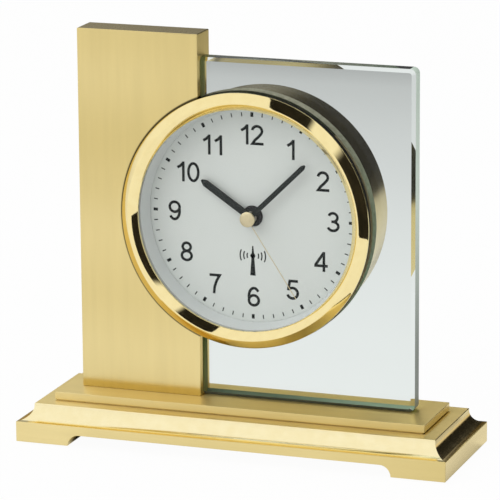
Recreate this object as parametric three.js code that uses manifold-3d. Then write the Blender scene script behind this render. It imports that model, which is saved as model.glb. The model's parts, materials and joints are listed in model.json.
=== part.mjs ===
// A table clock: a radio-controlled quartz insert held between a brass pillar and a glass pane,
// on a stepped brass base. Millimetres, +Z up, the dial faces -Y.
// The origin is on the table, under the middle of the base.

import * as THREE from 'three';
import { mergeVertices } from 'three/addons/utils/BufferGeometryUtils.js';
import Module from 'manifold-3d';

const wasm = await Module();
wasm.setup();

// Clearances
const SEAT_GAP = 0.3;
const RUNNING_GAP = 0.3;
const BOND_LINE = 0.2;

// How far a cutting tool reaches past the face it cuts, and how close two corners are one
const OVERCUT = 1;
const MERGE_DISTANCE = 1e-4;

// Base
const BASE_WIDTH = 180;
const BASE_DEPTH = 59;
const PLINTH_HEIGHT = 8.3;
const FOOT_WIDTH = 22.3;
const ARCH_HEIGHT = 4.6;
const COVE_RADIUS = 5.9;
const COVE_FILLET = 0.7;
const PLATE_STEP = 6.3;
const PLATE_THICKNESS = 3.6;
const PAD_LENGTH = 16;
const PAD_WIDTH = 12;
const PAD_THICKNESS = 0.8;
const PAD_MARGIN = 3;
const PAD_CORNER = 2;

// Screws under the base
const SCREW_RADIUS = 2.5;
const SCREW_HEAD_RADIUS = 4.4;
const SCREW_HEAD_HEIGHT = 3;
const SCREW_SEAT_DEPTH = 4;
const PILLAR_SCREW_REACH = 12;
const PLATE_SCREW_REACH = 2.2;
const PILLAR_SCREW_MARGIN = 12;
const PLATE_SCREW_SPACING = 50;

// Upright: pillar and glass pane
const UPRIGHT_SETBACK = 1.3;
const PILLAR_WIDTH = 50.9;
const PILLAR_THICKNESS = 13.6;
const PILLAR_HEIGHT = 147.3;
const PILLAR_CHAMFER = 0.3;
const PILLAR_TO_AXIS = 19.4;
const GLASS_THICKNESS = 8;
const GLASS_CHAMFER = 1.35;
const GLASS_ABOVE_BAY = 13.5;
const GLASS_BESIDE_BAY = 18.4;
const GLASS_CORNER = 2.4;

// Case, bezel and dial stack
const CASE_RADIUS = 49.4;
const CASE_WALL = 0.7;
const CASE_LENGTH = 34;
const CASE_LIP = 6;
const GRIP_THICKNESS = 0.6;
const GRIP_WIDTH = 6.4;
const BEZEL_OVERLAP = 1.05;
const BEZEL_EDGE = 0.5;
const BEZEL_RISE = 3.8;
const BEZEL_OUTER_SLOPE = 3.25;
const BEZEL_INNER_SLOPE = 3.6;
const BEZEL_CREST_FLAT = 0.25;
const BEZEL_LIP = 0.4;
const SKIRT_WALL = 0.8;
const SKIRT_LENGTH = 8;
const GASKET_THICKNESS = 0.6;
const CRYSTAL_THICKNESS = 1.5;
const REHAUT_TAPER = 1.5;
const DIAL_THICKNESS = 0.6;

// Hands
const REST_HOUR = 10;
const REST_MINUTE = 7.6;
const REST_SECOND = 24.5;
const DEGREES_PER_HOUR = 30;
const DEGREES_PER_MINUTE = 6;
const HOUR_LENGTH = 24.8;
const HOUR_WIDTH = 2.9;
const HOUR_TAPER = 1.9;
const MINUTE_LENGTH = 32.6;
const MINUTE_WIDTH = 2;
const MINUTE_TAPER = 1.3;
const HAND_TIP = 0.7;
const HAND_THICKNESS = 0.6;
const HUB_WALL = 0.7;
const SECOND_LENGTH = 36.8;
const SECOND_WIDTH = 0.5;
const SECOND_BLADE = 0.3;
const CAP_RADIUS = 3.1;
const CAP_THICKNESS = 1.4;
const COLLET_LENGTH = 0.9;
const COLLET_WALL = 0.4;
const CAP_TO_CRYSTAL = 0.4;
const SECOND_TO_MINUTE = 1.6;
const MINUTE_TO_HOUR = 1;
const HOUR_TO_DIAL = 2.1;

// Movement: shells, arbors and wheels
const SHELL_WALL = 1.4;
const SHELL_CORNER = 5;
const ARBOR_RADIUS = 0.6;
const TUBE_WALL = 0.55;
const BUSH_WALL = 1.35;
const BUSH_REACH = 1.2;
const PIVOT_DEPTH = 0.8;
const WHEEL_THICKNESS = 0.9;
const WHEEL_GAP = 0.5;
const HOUR_LEVEL = 0;
const MOTION_LEVEL = 1;
const MINUTE_LEVEL = 2;
const SECONDS_STATOR_LEVEL = 3;
const SECONDS_LEVEL = 4;
const MINUTE_STATOR_LEVEL = 4;
const TRAIN_LEVELS = 6;
const TRAIN_MODULE = 0.53;
const ROTOR_MODULE = 0.47;
const MOTION_MODULE = 0.6;
const PINION_TEETH = 6;
const INTERMEDIATE_TEETH = 30;
const CENTRE_TEETH = 36;
const CANNON_PINION_TEETH = 10;
const MOTION_TEETH = 30;
const MOTION_PINION_TEETH = 8;
const HOUR_TEETH = 32;
const TOOTH_ADDENDUM = 0.75;
const TOOTH_DEDENDUM = 1.2;
const TOOTH_ROOT_SHARE = 0.24;
const TOOTH_TIP_SHARE = 0.1;
const INTERMEDIATE_ANGLE = 110;
const ROTOR_ANGLE = 85;
const BRIDGE_THICKNESS = 1.2;
const BRIDGE_MARGIN = 3;
const POST_RADIUS = 1.6;
const POST_GAP = 0.8;

// Movement: motors
const MAGNET_RADIUS = 3;
const MAGNET_THICKNESS = 1.8;
const STATOR_THICKNESS = 1;
const STATOR_RIM = 1.5;
const STATOR_LEG = 2.4;
const COIL_OFFSET = 5.2;
const COIL_LENGTH = 15;
const COIL_RADIUS = 3.2;
const BOBBIN_FLANGE = 0.5;
const BOBBIN_FLANGE_THICKNESS = 0.8;

// Movement: electronics and battery
const BOARD_WIDTH = 34;
const BOARD_HEIGHT = 30;
const BOARD_THICKNESS = 1.2;
const FERRITE_RADIUS = 3;
const FERRITE_LENGTH = 46;
const ANTENNA_COIL_RADIUS = 4;
const ANTENNA_COIL_LENGTH = 28;
const CRADLE_THICKNESS = 3;
const BATTERY_RADIUS = 7.15;
const BATTERY_LENGTH = 49.2;
const BATTERY_NUB_RADIUS = 2.75;
const BATTERY_NUB_LENGTH = 1.3;
const CONTACT_THICKNESS = 0.5;
const CONTACT_BOW = 1.6;
const CONTACT_WIDTH = 8;
const CONTACT_FLAT = 4;

// Back of the insert
const PANEL_THICKNESS = 1.6;
const PANEL_BOSS_RADIUS = 3;
const HATCH_RIDGE = 0.5;
const HATCH_RIDGE_WIDTH = 1.2;
const HATCH_RIDGES = 3;
const HATCH_RIDGE_LENGTH = 16;
const HATCH_RIDGE_PITCH = 2.4;
const BUTTON_RADIUS = 2;
const BUTTON_FLANGE = 0.8;
const BUTTON_FLANGE_THICKNESS = 0.8;
const BUTTON_TRAVEL = 0.8;
const BUTTON_SPACING = 10;
const BUTTON_RISE = 7.5;

// Facets
const RING_FACETS = 56;
const HIDDEN_RING_FACETS = 36;
const ROD_FACETS = 14;
const ARBOR_FACETS = 8;
const COVE_FACETS = 6;
const CORNER_FACETS = 5;

// Heights of the stand
const BRASS_BOTTOM = PAD_THICKNESS;
const PLINTH_TOP = BRASS_BOTTOM + PLINTH_HEIGHT;
const MOULDING_TOP = PLINTH_TOP + COVE_RADIUS + COVE_FILLET;
const PLATE_TOP = MOULDING_TOP + PLATE_THICKNESS;
const PILLAR_TOP = PLATE_TOP + PILLAR_HEIGHT;
const AXIS_HEIGHT = PLATE_TOP + PILLAR_HEIGHT / 2;
const PLATE_INSET = COVE_RADIUS + PLATE_STEP;
const PILLAR_FRONT = UPRIGHT_SETBACK - PILLAR_THICKNESS / 2;

// Radii of the insert, from the drum inwards and outwards
const CASE_INNER = CASE_RADIUS - CASE_WALL;
const GRIP_INNER = CASE_RADIUS + SEAT_GAP;
const BAY_RADIUS = GRIP_INNER + GRIP_THICKNESS + SEAT_GAP;
const BEZEL_RADIUS = BAY_RADIUS + BEZEL_OVERLAP;
const CREST_RADIUS = BEZEL_RADIUS - BEZEL_OUTER_SLOPE;
const BEZEL_INNER = CREST_RADIUS - BEZEL_INNER_SLOPE;
const SKIRT_OUTER = CASE_INNER - SEAT_GAP;
const SKIRT_INNER = SKIRT_OUTER - SKIRT_WALL;
const GASKET_OUTER = SKIRT_INNER - SEAT_GAP;
const GASKET_INNER = GASKET_OUTER - GASKET_THICKNESS;
const CRYSTAL_RADIUS = GASKET_INNER - SEAT_GAP;
const DIAL_RADIUS = SKIRT_INNER - SEAT_GAP;

// Places along the clock's axis, from the bezel to the back
const FLANGE_BACK = PILLAR_FRONT - SEAT_GAP;
const CREST_FRONT = FLANGE_BACK - BEZEL_RISE;
const CRYSTAL_FRONT = FLANGE_BACK + SEAT_GAP;
const CRYSTAL_BACK = CRYSTAL_FRONT + CRYSTAL_THICKNESS;
const CAP_FRONT = CRYSTAL_BACK + CAP_TO_CRYSTAL;
const CAP_BACK = CAP_FRONT + CAP_THICKNESS;
const MINUTE_FRONT = CAP_BACK + SECOND_TO_MINUTE;
const MINUTE_BACK = MINUTE_FRONT + HAND_THICKNESS;
const HOUR_FRONT = MINUTE_BACK + MINUTE_TO_HOUR;
const HOUR_BACK = HOUR_FRONT + HAND_THICKNESS;
const DIAL_FRONT = HOUR_BACK + HOUR_TO_DIAL;
const DIAL_BACK = DIAL_FRONT + DIAL_THICKNESS;
const SHELL_FRONT = DIAL_BACK + SEAT_GAP;
const TRAIN_FRONT = SHELL_FRONT + SHELL_WALL;
const LEVEL_PITCH = WHEEL_THICKNESS + WHEEL_GAP;
const BRIDGE_FRONT = TRAIN_FRONT + WHEEL_GAP + TRAIN_LEVELS * LEVEL_PITCH;
const BRIDGE_BACK = BRIDGE_FRONT + BRIDGE_THICKNESS;
const BOARD_FRONT = BRIDGE_BACK + SEAT_GAP;
const BOARD_BACK = BOARD_FRONT + BOARD_THICKNESS;
const CASE_FRONT = FLANGE_BACK + SEAT_GAP;
const CASE_BACK = CASE_FRONT + CASE_LENGTH;
const PANEL_BACK = CASE_BACK - CASE_WALL - SEAT_GAP;
const PANEL_FRONT = PANEL_BACK - PANEL_THICKNESS;
const ANTENNA_DEPTH = TRAIN_FRONT + SEAT_GAP + ANTENNA_COIL_RADIUS + SHELL_WALL;
const BATTERY_AXIS_DEPTH = TRAIN_FRONT + SEAT_GAP + BATTERY_RADIUS;
const SHELL_BACK = BATTERY_AXIS_DEPTH + BATTERY_RADIUS + SHELL_WALL;

// Radii of the nested tubes at the centre
const CANNON_BORE = ARBOR_RADIUS + RUNNING_GAP;
const CANNON_RADIUS = CANNON_BORE + TUBE_WALL;
const HOUR_BORE = CANNON_RADIUS + RUNNING_GAP;
const HOUR_TUBE_RADIUS = HOUR_BORE + TUBE_WALL;
const BUSH_BORE = HOUR_TUBE_RADIUS + RUNNING_GAP;
const BUSH_RADIUS = BUSH_BORE + BUSH_WALL;

// Gear centres, as clock angle and distance, then as x and z from the clock's axis
const TRAIN_DISTANCE = (TRAIN_MODULE * (CENTRE_TEETH + PINION_TEETH)) / 2;
const ROTOR_DISTANCE = (ROTOR_MODULE * (INTERMEDIATE_TEETH + PINION_TEETH)) / 2;
const MOTION_DISTANCE = (MOTION_MODULE * (CANNON_PINION_TEETH + MOTION_TEETH)) / 2;
const HOUR_MODULE = (2 * MOTION_DISTANCE) / (MOTION_PINION_TEETH + HOUR_TEETH);
const MOTION_CENTRE = new THREE.Vector2(0, MOTION_DISTANCE);

// The inside of the movement's shells
const COIL_FLANGE_RADIUS = COIL_RADIUS + BOBBIN_FLANGE;
const COIL_X = intermediateCentre(1).x + rotorStep(1).x + COIL_OFFSET;
const CONTACT_ROOM = CONTACT_THICKNESS + CONTACT_BOW + 2 * SEAT_GAP;
const BATTERY_HALF_ROOM = (BATTERY_LENGTH + BATTERY_NUB_LENGTH) / 2 + CONTACT_ROOM;
const SHELL_INNER_X = Math.max(COIL_X + COIL_FLANGE_RADIUS + SEAT_GAP, BATTERY_HALF_ROOM);
const TRAIN_TOP = MOTION_CENTRE.y + MOTION_MODULE * (MOTION_TEETH / 2 + TOOTH_ADDENDUM) + WHEEL_GAP;
const ANTENNA_Z = TRAIN_TOP + SEAT_GAP + ANTENNA_COIL_RADIUS;
const SHELL_INNER_TOP = ANTENNA_Z + ANTENNA_COIL_RADIUS + SEAT_GAP;
const TRAIN_BOTTOM = -(TRAIN_MODULE * (CENTRE_TEETH / 2 + TOOTH_ADDENDUM) + POST_GAP + 2 * POST_RADIUS);
const BAY_TOP = TRAIN_BOTTOM - SHELL_WALL;
const BATTERY_Z = BAY_TOP - SEAT_GAP - BATTERY_RADIUS;
const SHELL_INNER_BOTTOM = BATTERY_Z - BATTERY_RADIUS - SEAT_GAP;

// Finishes
const satinBrass = finish(0xddc987, 0.38, 1);
const polishedBrass = finish(0xe2c06a, 0.08, 1);
const clearGlass = finish(0xdfeae4, 0.03, 0);
const whitePaint = finish(0xe6e9e6, 0.6, 0);
const blackPaint = finish(0x23282a, 0.45, 0);
const blackRubber = finish(0x1c1c1c, 0.85, 0);
const blackPlastic = finish(0x26282a, 0.55, 0);
const whitePlastic = finish(0xe8e4da, 0.5, 0);
const zincSteel = finish(0xb9bcc0, 0.35, 1);
const greenBoard = finish(0x2c6b45, 0.5, 0);
const copperWire = finish(0xb46a35, 0.35, 1);
const darkFerrite = finish(0x3a3a3d, 0.7, 0);
const felt = finish(0x3d4a3a, 0.95, 0);
const batterySleeve = finish(0x8f9499, 0.4, 0);

function finish(color, roughness, metalness) {
  return new THREE.MeshStandardMaterial({ color, roughness, metalness });
}

// The intermediate wheel and the step from it to its rotor, on the right (1) or the left (-1)
function clockPoint(degrees, distance) {
  const angle = THREE.MathUtils.degToRad(degrees);
  return new THREE.Vector2(distance * Math.sin(angle), distance * Math.cos(angle));
}

function intermediateCentre(side) {
  return clockPoint(side * INTERMEDIATE_ANGLE, TRAIN_DISTANCE);
}

function rotorStep(side) {
  return clockPoint(side * ROTOR_ANGLE, ROTOR_DISTANCE);
}

// Solids: a closed three.js geometry becomes a body that can be joined and cut
function solid(geometry) {
  const bare = geometry.clone();
  bare.deleteAttribute('normal');
  bare.deleteAttribute('uv');
  const merged = mergeVertices(bare, MERGE_DISTANCE);
  const position = merged.attributes.position.array;
  const source = merged.index.array;
  const triangles = [];
  let volume = 0;
  const a = new THREE.Vector3();
  const b = new THREE.Vector3();
  const c = new THREE.Vector3();
  for (let at = 0; at < source.length; at += 3) {
    const [i, j, k] = [source[at], source[at + 1], source[at + 2]];
    if (i !== j && j !== k && k !== i) {
      triangles.push(i, j, k);
      a.fromArray(position, 3 * i);
      b.fromArray(position, 3 * j);
      c.fromArray(position, 3 * k);
      volume += a.dot(b.cross(c));
    }
  }
  if (volume < 0) {
    triangles.reverse();
  }
  const vertProperties = new Float32Array(position);
  const triVerts = new Uint32Array(triangles);
  return new wasm.Manifold(new wasm.Mesh({ numProp: 3, vertProperties, triVerts }));
}

function join(...bodies) {
  return bodies.reduce((whole, body) => whole.add(body));
}

function cut(body, ...tools) {
  return tools.reduce((rest, tool) => rest.subtract(tool), body);
}

function geometryOf(body) {
  const mesh = body.getMesh();
  const geometry = new THREE.BufferGeometry();
  geometry.setAttribute('position', new THREE.BufferAttribute(new Float32Array(mesh.vertProperties), 3));
  geometry.setIndex(new THREE.BufferAttribute(new Uint32Array(mesh.triVerts), 1));
  geometry.computeVertexNormals();
  return geometry;
}

function piece(group, name, body, material) {
  const mesh = new THREE.Mesh(geometryOf(body), material);
  mesh.name = name;
  group.add(mesh);
  return mesh;
}

// Basic forms
function block(x0, x1, y0, y1, z0, z1) {
  const geometry = new THREE.BoxGeometry(x1 - x0, y1 - y0, z1 - z0);
  geometry.translate((x0 + x1) / 2, (y0 + y1) / 2, (z0 + z1) / 2);
  return solid(geometry);
}

function rodAlongY(radius, y0, y1, centre = { x: 0, y: 0 }, facets = ROD_FACETS) {
  const geometry = new THREE.CylinderGeometry(radius, radius, y1 - y0, facets);
  geometry.translate(centre.x, (y0 + y1) / 2, centre.y);
  return solid(geometry);
}

function rodAlongZ(radius, z0, z1, x, y) {
  const geometry = new THREE.CylinderGeometry(radius, radius, z1 - z0, ROD_FACETS);
  geometry.rotateX(Math.PI / 2);
  geometry.translate(x, y, (z0 + z1) / 2);
  return solid(geometry);
}

function rodAlongX(radius, x0, x1, y, z) {
  const geometry = new THREE.CylinderGeometry(radius, radius, x1 - x0, ROD_FACETS);
  geometry.rotateZ(Math.PI / 2);
  geometry.translate((x0 + x1) / 2, y, z);
  return solid(geometry);
}

// A ring or disc about the clock's axis; profile points are [radius, y]
function turned(profile, facets) {
  const points = profile.map(([radius, y]) => new THREE.Vector2(radius, y));
  const closed = profile[0][0] === 0 && profile[profile.length - 1][0] === 0;
  if (!closed) {
    points.push(points[0].clone());
  }
  return solid(new THREE.LatheGeometry(points, facets));
}

function ring(inner, outer, y0, y1, facets) {
  return turned([[inner, y0], [outer, y0], [outer, y1], [inner, y1]], facets);
}

function turnedDisc(radius, y0, y1) {
  return turned([[0, y0], [radius, y0], [radius, y1], [0, y1]], HIDDEN_RING_FACETS);
}

// A flat piece whose outline lies in the XZ plane, from y0 to y1, with chamfered edges if asked for
function plate(shape, y0, y1, chamfer = 0, arcFacets = 1) {
  const geometry = new THREE.ExtrudeGeometry(shape, {
    depth: y1 - y0 - 2 * chamfer,
    curveSegments: arcFacets,
    bevelEnabled: chamfer > 0,
    bevelThickness: chamfer,
    bevelSize: chamfer,
    bevelOffset: -chamfer,
    bevelSegments: 1,
  });
  geometry.rotateX(Math.PI / 2);
  geometry.translate(0, y1 - chamfer, 0);
  return solid(geometry);
}

function outline(points) {
  return new THREE.Shape(points.map(([x, z]) => new THREE.Vector2(x, z)));
}

function roundedRectangle(x0, x1, z0, z1, radius) {
  const shape = new THREE.Shape();
  const quarter = Math.PI / 2;
  const corners = [
    [x1 - radius, z0 + radius, -quarter],
    [x1 - radius, z1 - radius, 0],
    [x0 + radius, z1 - radius, quarter],
    [x0 + radius, z0 + radius, 2 * quarter],
  ];
  corners.forEach(([x, z, start]) => {
    for (let step = 0; step <= CORNER_FACETS; step += 1) {
      const angle = start + (quarter * step) / CORNER_FACETS;
      const point = [x + radius * Math.cos(angle), z + radius * Math.sin(angle)];
      if (shape.curves.length === 0 && step === 0 && start === -quarter) {
        shape.moveTo(...point);
      } else {
        shape.lineTo(...point);
      }
    }
  });
  return shape;
}

// A tower of rectangles with mitred corners; each level is [inset from the base's outline, z]
function mitredTower(levels) {
  const positions = [];
  levels.forEach(([inset, z]) => {
    const x = BASE_WIDTH / 2 - inset;
    const y = BASE_DEPTH / 2 - inset;
    positions.push(-x, -y, z, x, -y, z, x, y, z, -x, y, z);
  });
  const index = [0, 2, 1, 0, 3, 2];
  for (let level = 0; level < levels.length - 1; level += 1) {
    for (let side = 0; side < 4; side += 1) {
      const low = 4 * level + side;
      const next = 4 * level + ((side + 1) % 4);
      index.push(low, next, next + 4, low, next + 4, low + 4);
    }
  }
  const top = 4 * (levels.length - 1);
  index.push(top, top + 1, top + 2, top, top + 2, top + 3);
  const geometry = new THREE.BufferGeometry();
  geometry.setAttribute('position', new THREE.Float32BufferAttribute(positions, 3));
  geometry.setIndex(index);
  return solid(geometry);
}

// Stand
function baseMoulding() {
  const levels = [[0, BRASS_BOTTOM], [0, PLINTH_TOP]];
  for (let step = 1; step <= COVE_FACETS; step += 1) {
    const angle = (Math.PI / 2) * (step / COVE_FACETS);
    const inset = COVE_RADIUS * Math.sin(angle);
    levels.push([inset, PLINTH_TOP + COVE_RADIUS * (1 - Math.cos(angle))]);
  }
  levels.push([COVE_RADIUS, MOULDING_TOP]);
  return cut(mitredTower(levels), arch(), ...screwPlaces().map(screwHole));
}

// The arch runs from front to back between the feet, with quarter-round upper corners
function arch() {
  const half = BASE_WIDTH / 2 - FOOT_WIDTH;
  const below = BRASS_BOTTOM - OVERCUT;
  const shape = new THREE.Shape();
  shape.moveTo(-half, below);
  shape.lineTo(half, below);
  shape.lineTo(half, BRASS_BOTTOM);
  shape.absarc(half - ARCH_HEIGHT, BRASS_BOTTOM, ARCH_HEIGHT, 0, Math.PI / 2, false);
  shape.absarc(-half + ARCH_HEIGHT, BRASS_BOTTOM, ARCH_HEIGHT, Math.PI / 2, Math.PI, false);
  const geometry = new THREE.ExtrudeGeometry(shape, {
    depth: BASE_DEPTH + 2 * OVERCUT,
    curveSegments: COVE_FACETS,
    bevelEnabled: false,
  });
  geometry.rotateX(Math.PI / 2);
  geometry.translate(0, BASE_DEPTH / 2 + OVERCUT, 0);
  return solid(geometry);
}

// Two screws reach into the pillar and two hold the plate beside it
function screwPlaces() {
  const pillarLeft = -PILLAR_TO_AXIS - PILLAR_WIDTH + PILLAR_SCREW_MARGIN;
  const pillarRight = -PILLAR_TO_AXIS - PILLAR_SCREW_MARGIN;
  const pillarTip = PLATE_TOP + PILLAR_SCREW_REACH;
  const glassMiddle = (BAY_RADIUS + GLASS_BESIDE_BAY - PILLAR_TO_AXIS) / 2;
  const plateTip = MOULDING_TOP + PLATE_SCREW_REACH;
  return [
    { name: 'pillar_screw_left', x: pillarLeft, tip: pillarTip },
    { name: 'pillar_screw_right', x: pillarRight, tip: pillarTip },
    { name: 'plate_screw_left', x: glassMiddle - PLATE_SCREW_SPACING / 2, tip: plateTip },
    { name: 'plate_screw_right', x: glassMiddle + PLATE_SCREW_SPACING / 2, tip: plateTip },
  ];
}

const SCREW_SEAT = BRASS_BOTTOM + ARCH_HEIGHT + SCREW_SEAT_DEPTH;

function screw(place) {
  const headTop = SCREW_SEAT - SEAT_GAP;
  const headBottom = headTop - SCREW_HEAD_HEIGHT;
  const head = rodAlongZ(SCREW_HEAD_RADIUS, headBottom, headTop, place.x, UPRIGHT_SETBACK);
  const shank = rodAlongZ(SCREW_RADIUS, headBottom, place.tip, place.x, UPRIGHT_SETBACK);
  return join(head, shank);
}

function screwHole(place) {
  const bottom = BRASS_BOTTOM - OVERCUT;
  const top = place.tip + SEAT_GAP;
  const wide = rodAlongZ(SCREW_HEAD_RADIUS + SEAT_GAP, bottom, SCREW_SEAT, place.x, UPRIGHT_SETBACK);
  const narrow = rodAlongZ(SCREW_RADIUS + SEAT_GAP, bottom, top, place.x, UPRIGHT_SETBACK);
  return join(wide, narrow);
}

function baseTopPlate() {
  const x = BASE_WIDTH / 2 - PLATE_INSET;
  const y = BASE_DEPTH / 2 - PLATE_INSET;
  return cut(block(-x, x, -y, y, MOULDING_TOP, PLATE_TOP), ...screwPlaces().map(screwHole));
}

// The pillar and the glass share one round bay about the clock's axis
function bayFacets(angle) {
  return Math.ceil((RING_FACETS * angle) / (2 * Math.PI));
}

function pillar() {
  const right = -PILLAR_TO_AXIS;
  const left = right - PILLAR_WIDTH;
  const meet = Math.atan2(Math.sqrt(BAY_RADIUS ** 2 - right ** 2), right);
  const shape = new THREE.Shape();
  shape.moveTo(left, PLATE_TOP);
  shape.lineTo(right, PLATE_TOP);
  shape.absarc(0, AXIS_HEIGHT, BAY_RADIUS, -meet, meet, true);
  shape.lineTo(right, PILLAR_TOP);
  shape.lineTo(left, PILLAR_TOP);
  const facets = bayFacets(2 * (Math.PI - meet));
  const bar = plate(shape, PILLAR_FRONT, PILLAR_FRONT + PILLAR_THICKNESS, PILLAR_CHAMFER, facets);
  return cut(bar, ...screwPlaces().map(screwHole));
}

// One of the pane's free corners as short straight runs, from a start angle in radians
function roundCorner(shape, x, z, start) {
  for (let step = 0; step <= CORNER_FACETS; step += 1) {
    const angle = start + ((Math.PI / 2) * step) / CORNER_FACETS;
    shape.lineTo(x + GLASS_CORNER * Math.cos(angle), z + GLASS_CORNER * Math.sin(angle));
  }
}

function glassPane() {
  const left = -PILLAR_TO_AXIS + BOND_LINE;
  const right = BAY_RADIUS + GLASS_BESIDE_BAY;
  const bottom = PLATE_TOP + BOND_LINE;
  const top = AXIS_HEIGHT + BAY_RADIUS + GLASS_ABOVE_BAY;
  const meet = Math.atan2(Math.sqrt(BAY_RADIUS ** 2 - left ** 2), left);
  const shape = new THREE.Shape();
  shape.moveTo(left, bottom);
  roundCorner(shape, right - GLASS_CORNER, bottom + GLASS_CORNER, -Math.PI / 2);
  roundCorner(shape, right - GLASS_CORNER, top - GLASS_CORNER, 0);
  shape.lineTo(left, top);
  shape.absarc(0, AXIS_HEIGHT, BAY_RADIUS, meet, -meet, true);
  const front = UPRIGHT_SETBACK - GLASS_THICKNESS / 2;
  return plate(shape, front, front + GLASS_THICKNESS, GLASS_CHAMFER, bayFacets(2 * meet));
}

function footPad(sideX, sideY) {
  const x = sideX * (BASE_WIDTH / 2 - FOOT_WIDTH / 2);
  const y = sideY * (BASE_DEPTH / 2 - PAD_MARGIN - PAD_WIDTH / 2);
  const halfLength = PAD_LENGTH / 2;
  const halfWidth = PAD_WIDTH / 2;
  const shape = roundedRectangle(-halfLength, halfLength, -halfWidth, halfWidth, PAD_CORNER);
  const geometry = new THREE.ExtrudeGeometry(shape, { depth: PAD_THICKNESS, bevelEnabled: false });
  geometry.translate(x, y, 0);
  return solid(geometry);
}

// Case, bezel and dial stack
function caseDrum() {
  const lipInner = CASE_INNER - CASE_LIP;
  return turned([
    [CASE_INNER, CASE_FRONT],
    [CASE_RADIUS, CASE_FRONT],
    [CASE_RADIUS, CASE_BACK - CASE_WALL],
    [CASE_RADIUS - CASE_WALL, CASE_BACK],
    [lipInner, CASE_BACK],
    [lipInner, CASE_BACK - CASE_WALL],
    [CASE_INNER, CASE_BACK - CASE_WALL],
  ], RING_FACETS);
}

function bezel() {
  const skirtBack = FLANGE_BACK + SKIRT_LENGTH;
  return turned([
    [BEZEL_INNER, FLANGE_BACK],
    [BEZEL_INNER, FLANGE_BACK - BEZEL_LIP],
    [CREST_RADIUS - BEZEL_CREST_FLAT, CREST_FRONT],
    [CREST_RADIUS + BEZEL_CREST_FLAT, CREST_FRONT],
    [BEZEL_RADIUS, FLANGE_BACK - BEZEL_EDGE],
    [BEZEL_RADIUS, FLANGE_BACK],
    [SKIRT_OUTER, FLANGE_BACK],
    [SKIRT_OUTER, skirtBack],
    [SKIRT_INNER, skirtBack],
    [SKIRT_INNER, FLANGE_BACK],
  ], RING_FACETS);
}

function crystal() {
  return turnedDisc(CRYSTAL_RADIUS, CRYSTAL_FRONT, CRYSTAL_BACK);
}

function rehautRing() {
  return turned([
    [BEZEL_INNER, CRYSTAL_BACK + SEAT_GAP],
    [DIAL_RADIUS, CRYSTAL_BACK + SEAT_GAP],
    [DIAL_RADIUS, DIAL_FRONT - SEAT_GAP],
    [BEZEL_INNER - REHAUT_TAPER, DIAL_FRONT - SEAT_GAP],
  ], HIDDEN_RING_FACETS);
}

function dial() {
  return ring(BUSH_RADIUS + SEAT_GAP, DIAL_RADIUS, DIAL_FRONT, DIAL_BACK, HIDDEN_RING_FACETS);
}

// Hands: a baton with a tapered tip on a round hub, pointing at twelve until it is turned
function batonHand(length, width, taper, bore, front) {
  const back = front + HAND_THICKNESS;
  const baton = outline([
    [-width / 2, 0],
    [width / 2, 0],
    [width / 2, length - taper],
    [HAND_TIP / 2, length],
    [-HAND_TIP / 2, length],
    [-width / 2, length - taper],
  ]);
  const hub = rodAlongY(bore + HUB_WALL, front, back);
  const hole = rodAlongY(bore, front - OVERCUT, back + OVERCUT);
  return cut(join(plate(baton, front, back), hub), hole);
}

function secondHand() {
  const half = SECOND_WIDTH / 2;
  const bladeFront = CAP_BACK - SECOND_BLADE;
  const blade = block(-half, half, bladeFront, CAP_BACK, 0, SECOND_LENGTH);
  const cap = rodAlongY(CAP_RADIUS, CAP_FRONT, CAP_BACK);
  const bore = ARBOR_RADIUS + SEAT_GAP;
  const colletBack = CAP_BACK + COLLET_LENGTH;
  const collet = rodAlongY(bore + COLLET_WALL, bladeFront, colletBack);
  const hole = rodAlongY(bore, CAP_BACK, colletBack + OVERCUT);
  return cut(join(blade, cap, collet), hole);
}

// Gears: straight-flanked teeth, with one tooth at the given clock angle in degrees
function gear(teeth, module, toothAngle, level, centre = { x: 0, y: 0 }) {
  const pitch = 360 / teeth;
  const tip = module * (teeth / 2 + TOOTH_ADDENDUM);
  const root = module * (teeth / 2 - TOOTH_DEDENDUM);
  const points = [];
  for (let tooth = 0; tooth < teeth; tooth += 1) {
    const middle = toothAngle + tooth * pitch;
    points.push(clockPoint(middle - TOOTH_ROOT_SHARE * pitch, root));
    points.push(clockPoint(middle - TOOTH_TIP_SHARE * pitch, tip));
    points.push(clockPoint(middle + TOOTH_TIP_SHARE * pitch, tip));
    points.push(clockPoint(middle + TOOTH_ROOT_SHARE * pitch, root));
  }
  const shape = outline(points.map((point) => [point.x + centre.x, point.y + centre.y]));
  return plate(shape, levelFront(level), levelFront(level) + WHEEL_THICKNESS);
}

function levelFront(level) {
  return TRAIN_FRONT + WHEEL_GAP + level * LEVEL_PITCH;
}

// The clock angle at which a driven gear shows a tooth, so that a gap faces the driver's tooth
function gapTowards(driverAngle, teeth) {
  return driverAngle + 180 + 180 / teeth;
}

function arbor(centre, y0 = TRAIN_FRONT - PIVOT_DEPTH, y1 = BRIDGE_BACK - SEAT_GAP) {
  return rodAlongY(ARBOR_RADIUS, y0, y1, centre, ARBOR_FACETS);
}

function hourWheel() {
  const wheel = gear(HOUR_TEETH, HOUR_MODULE, gapTowards(180, HOUR_TEETH), HOUR_LEVEL);
  const tube = rodAlongY(HOUR_TUBE_RADIUS, HOUR_FRONT, levelFront(HOUR_LEVEL) + WHEEL_THICKNESS);
  const bore = rodAlongY(HOUR_BORE, HOUR_FRONT - OVERCUT, levelFront(MOTION_LEVEL));
  return cut(join(wheel, tube), bore);
}

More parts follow.
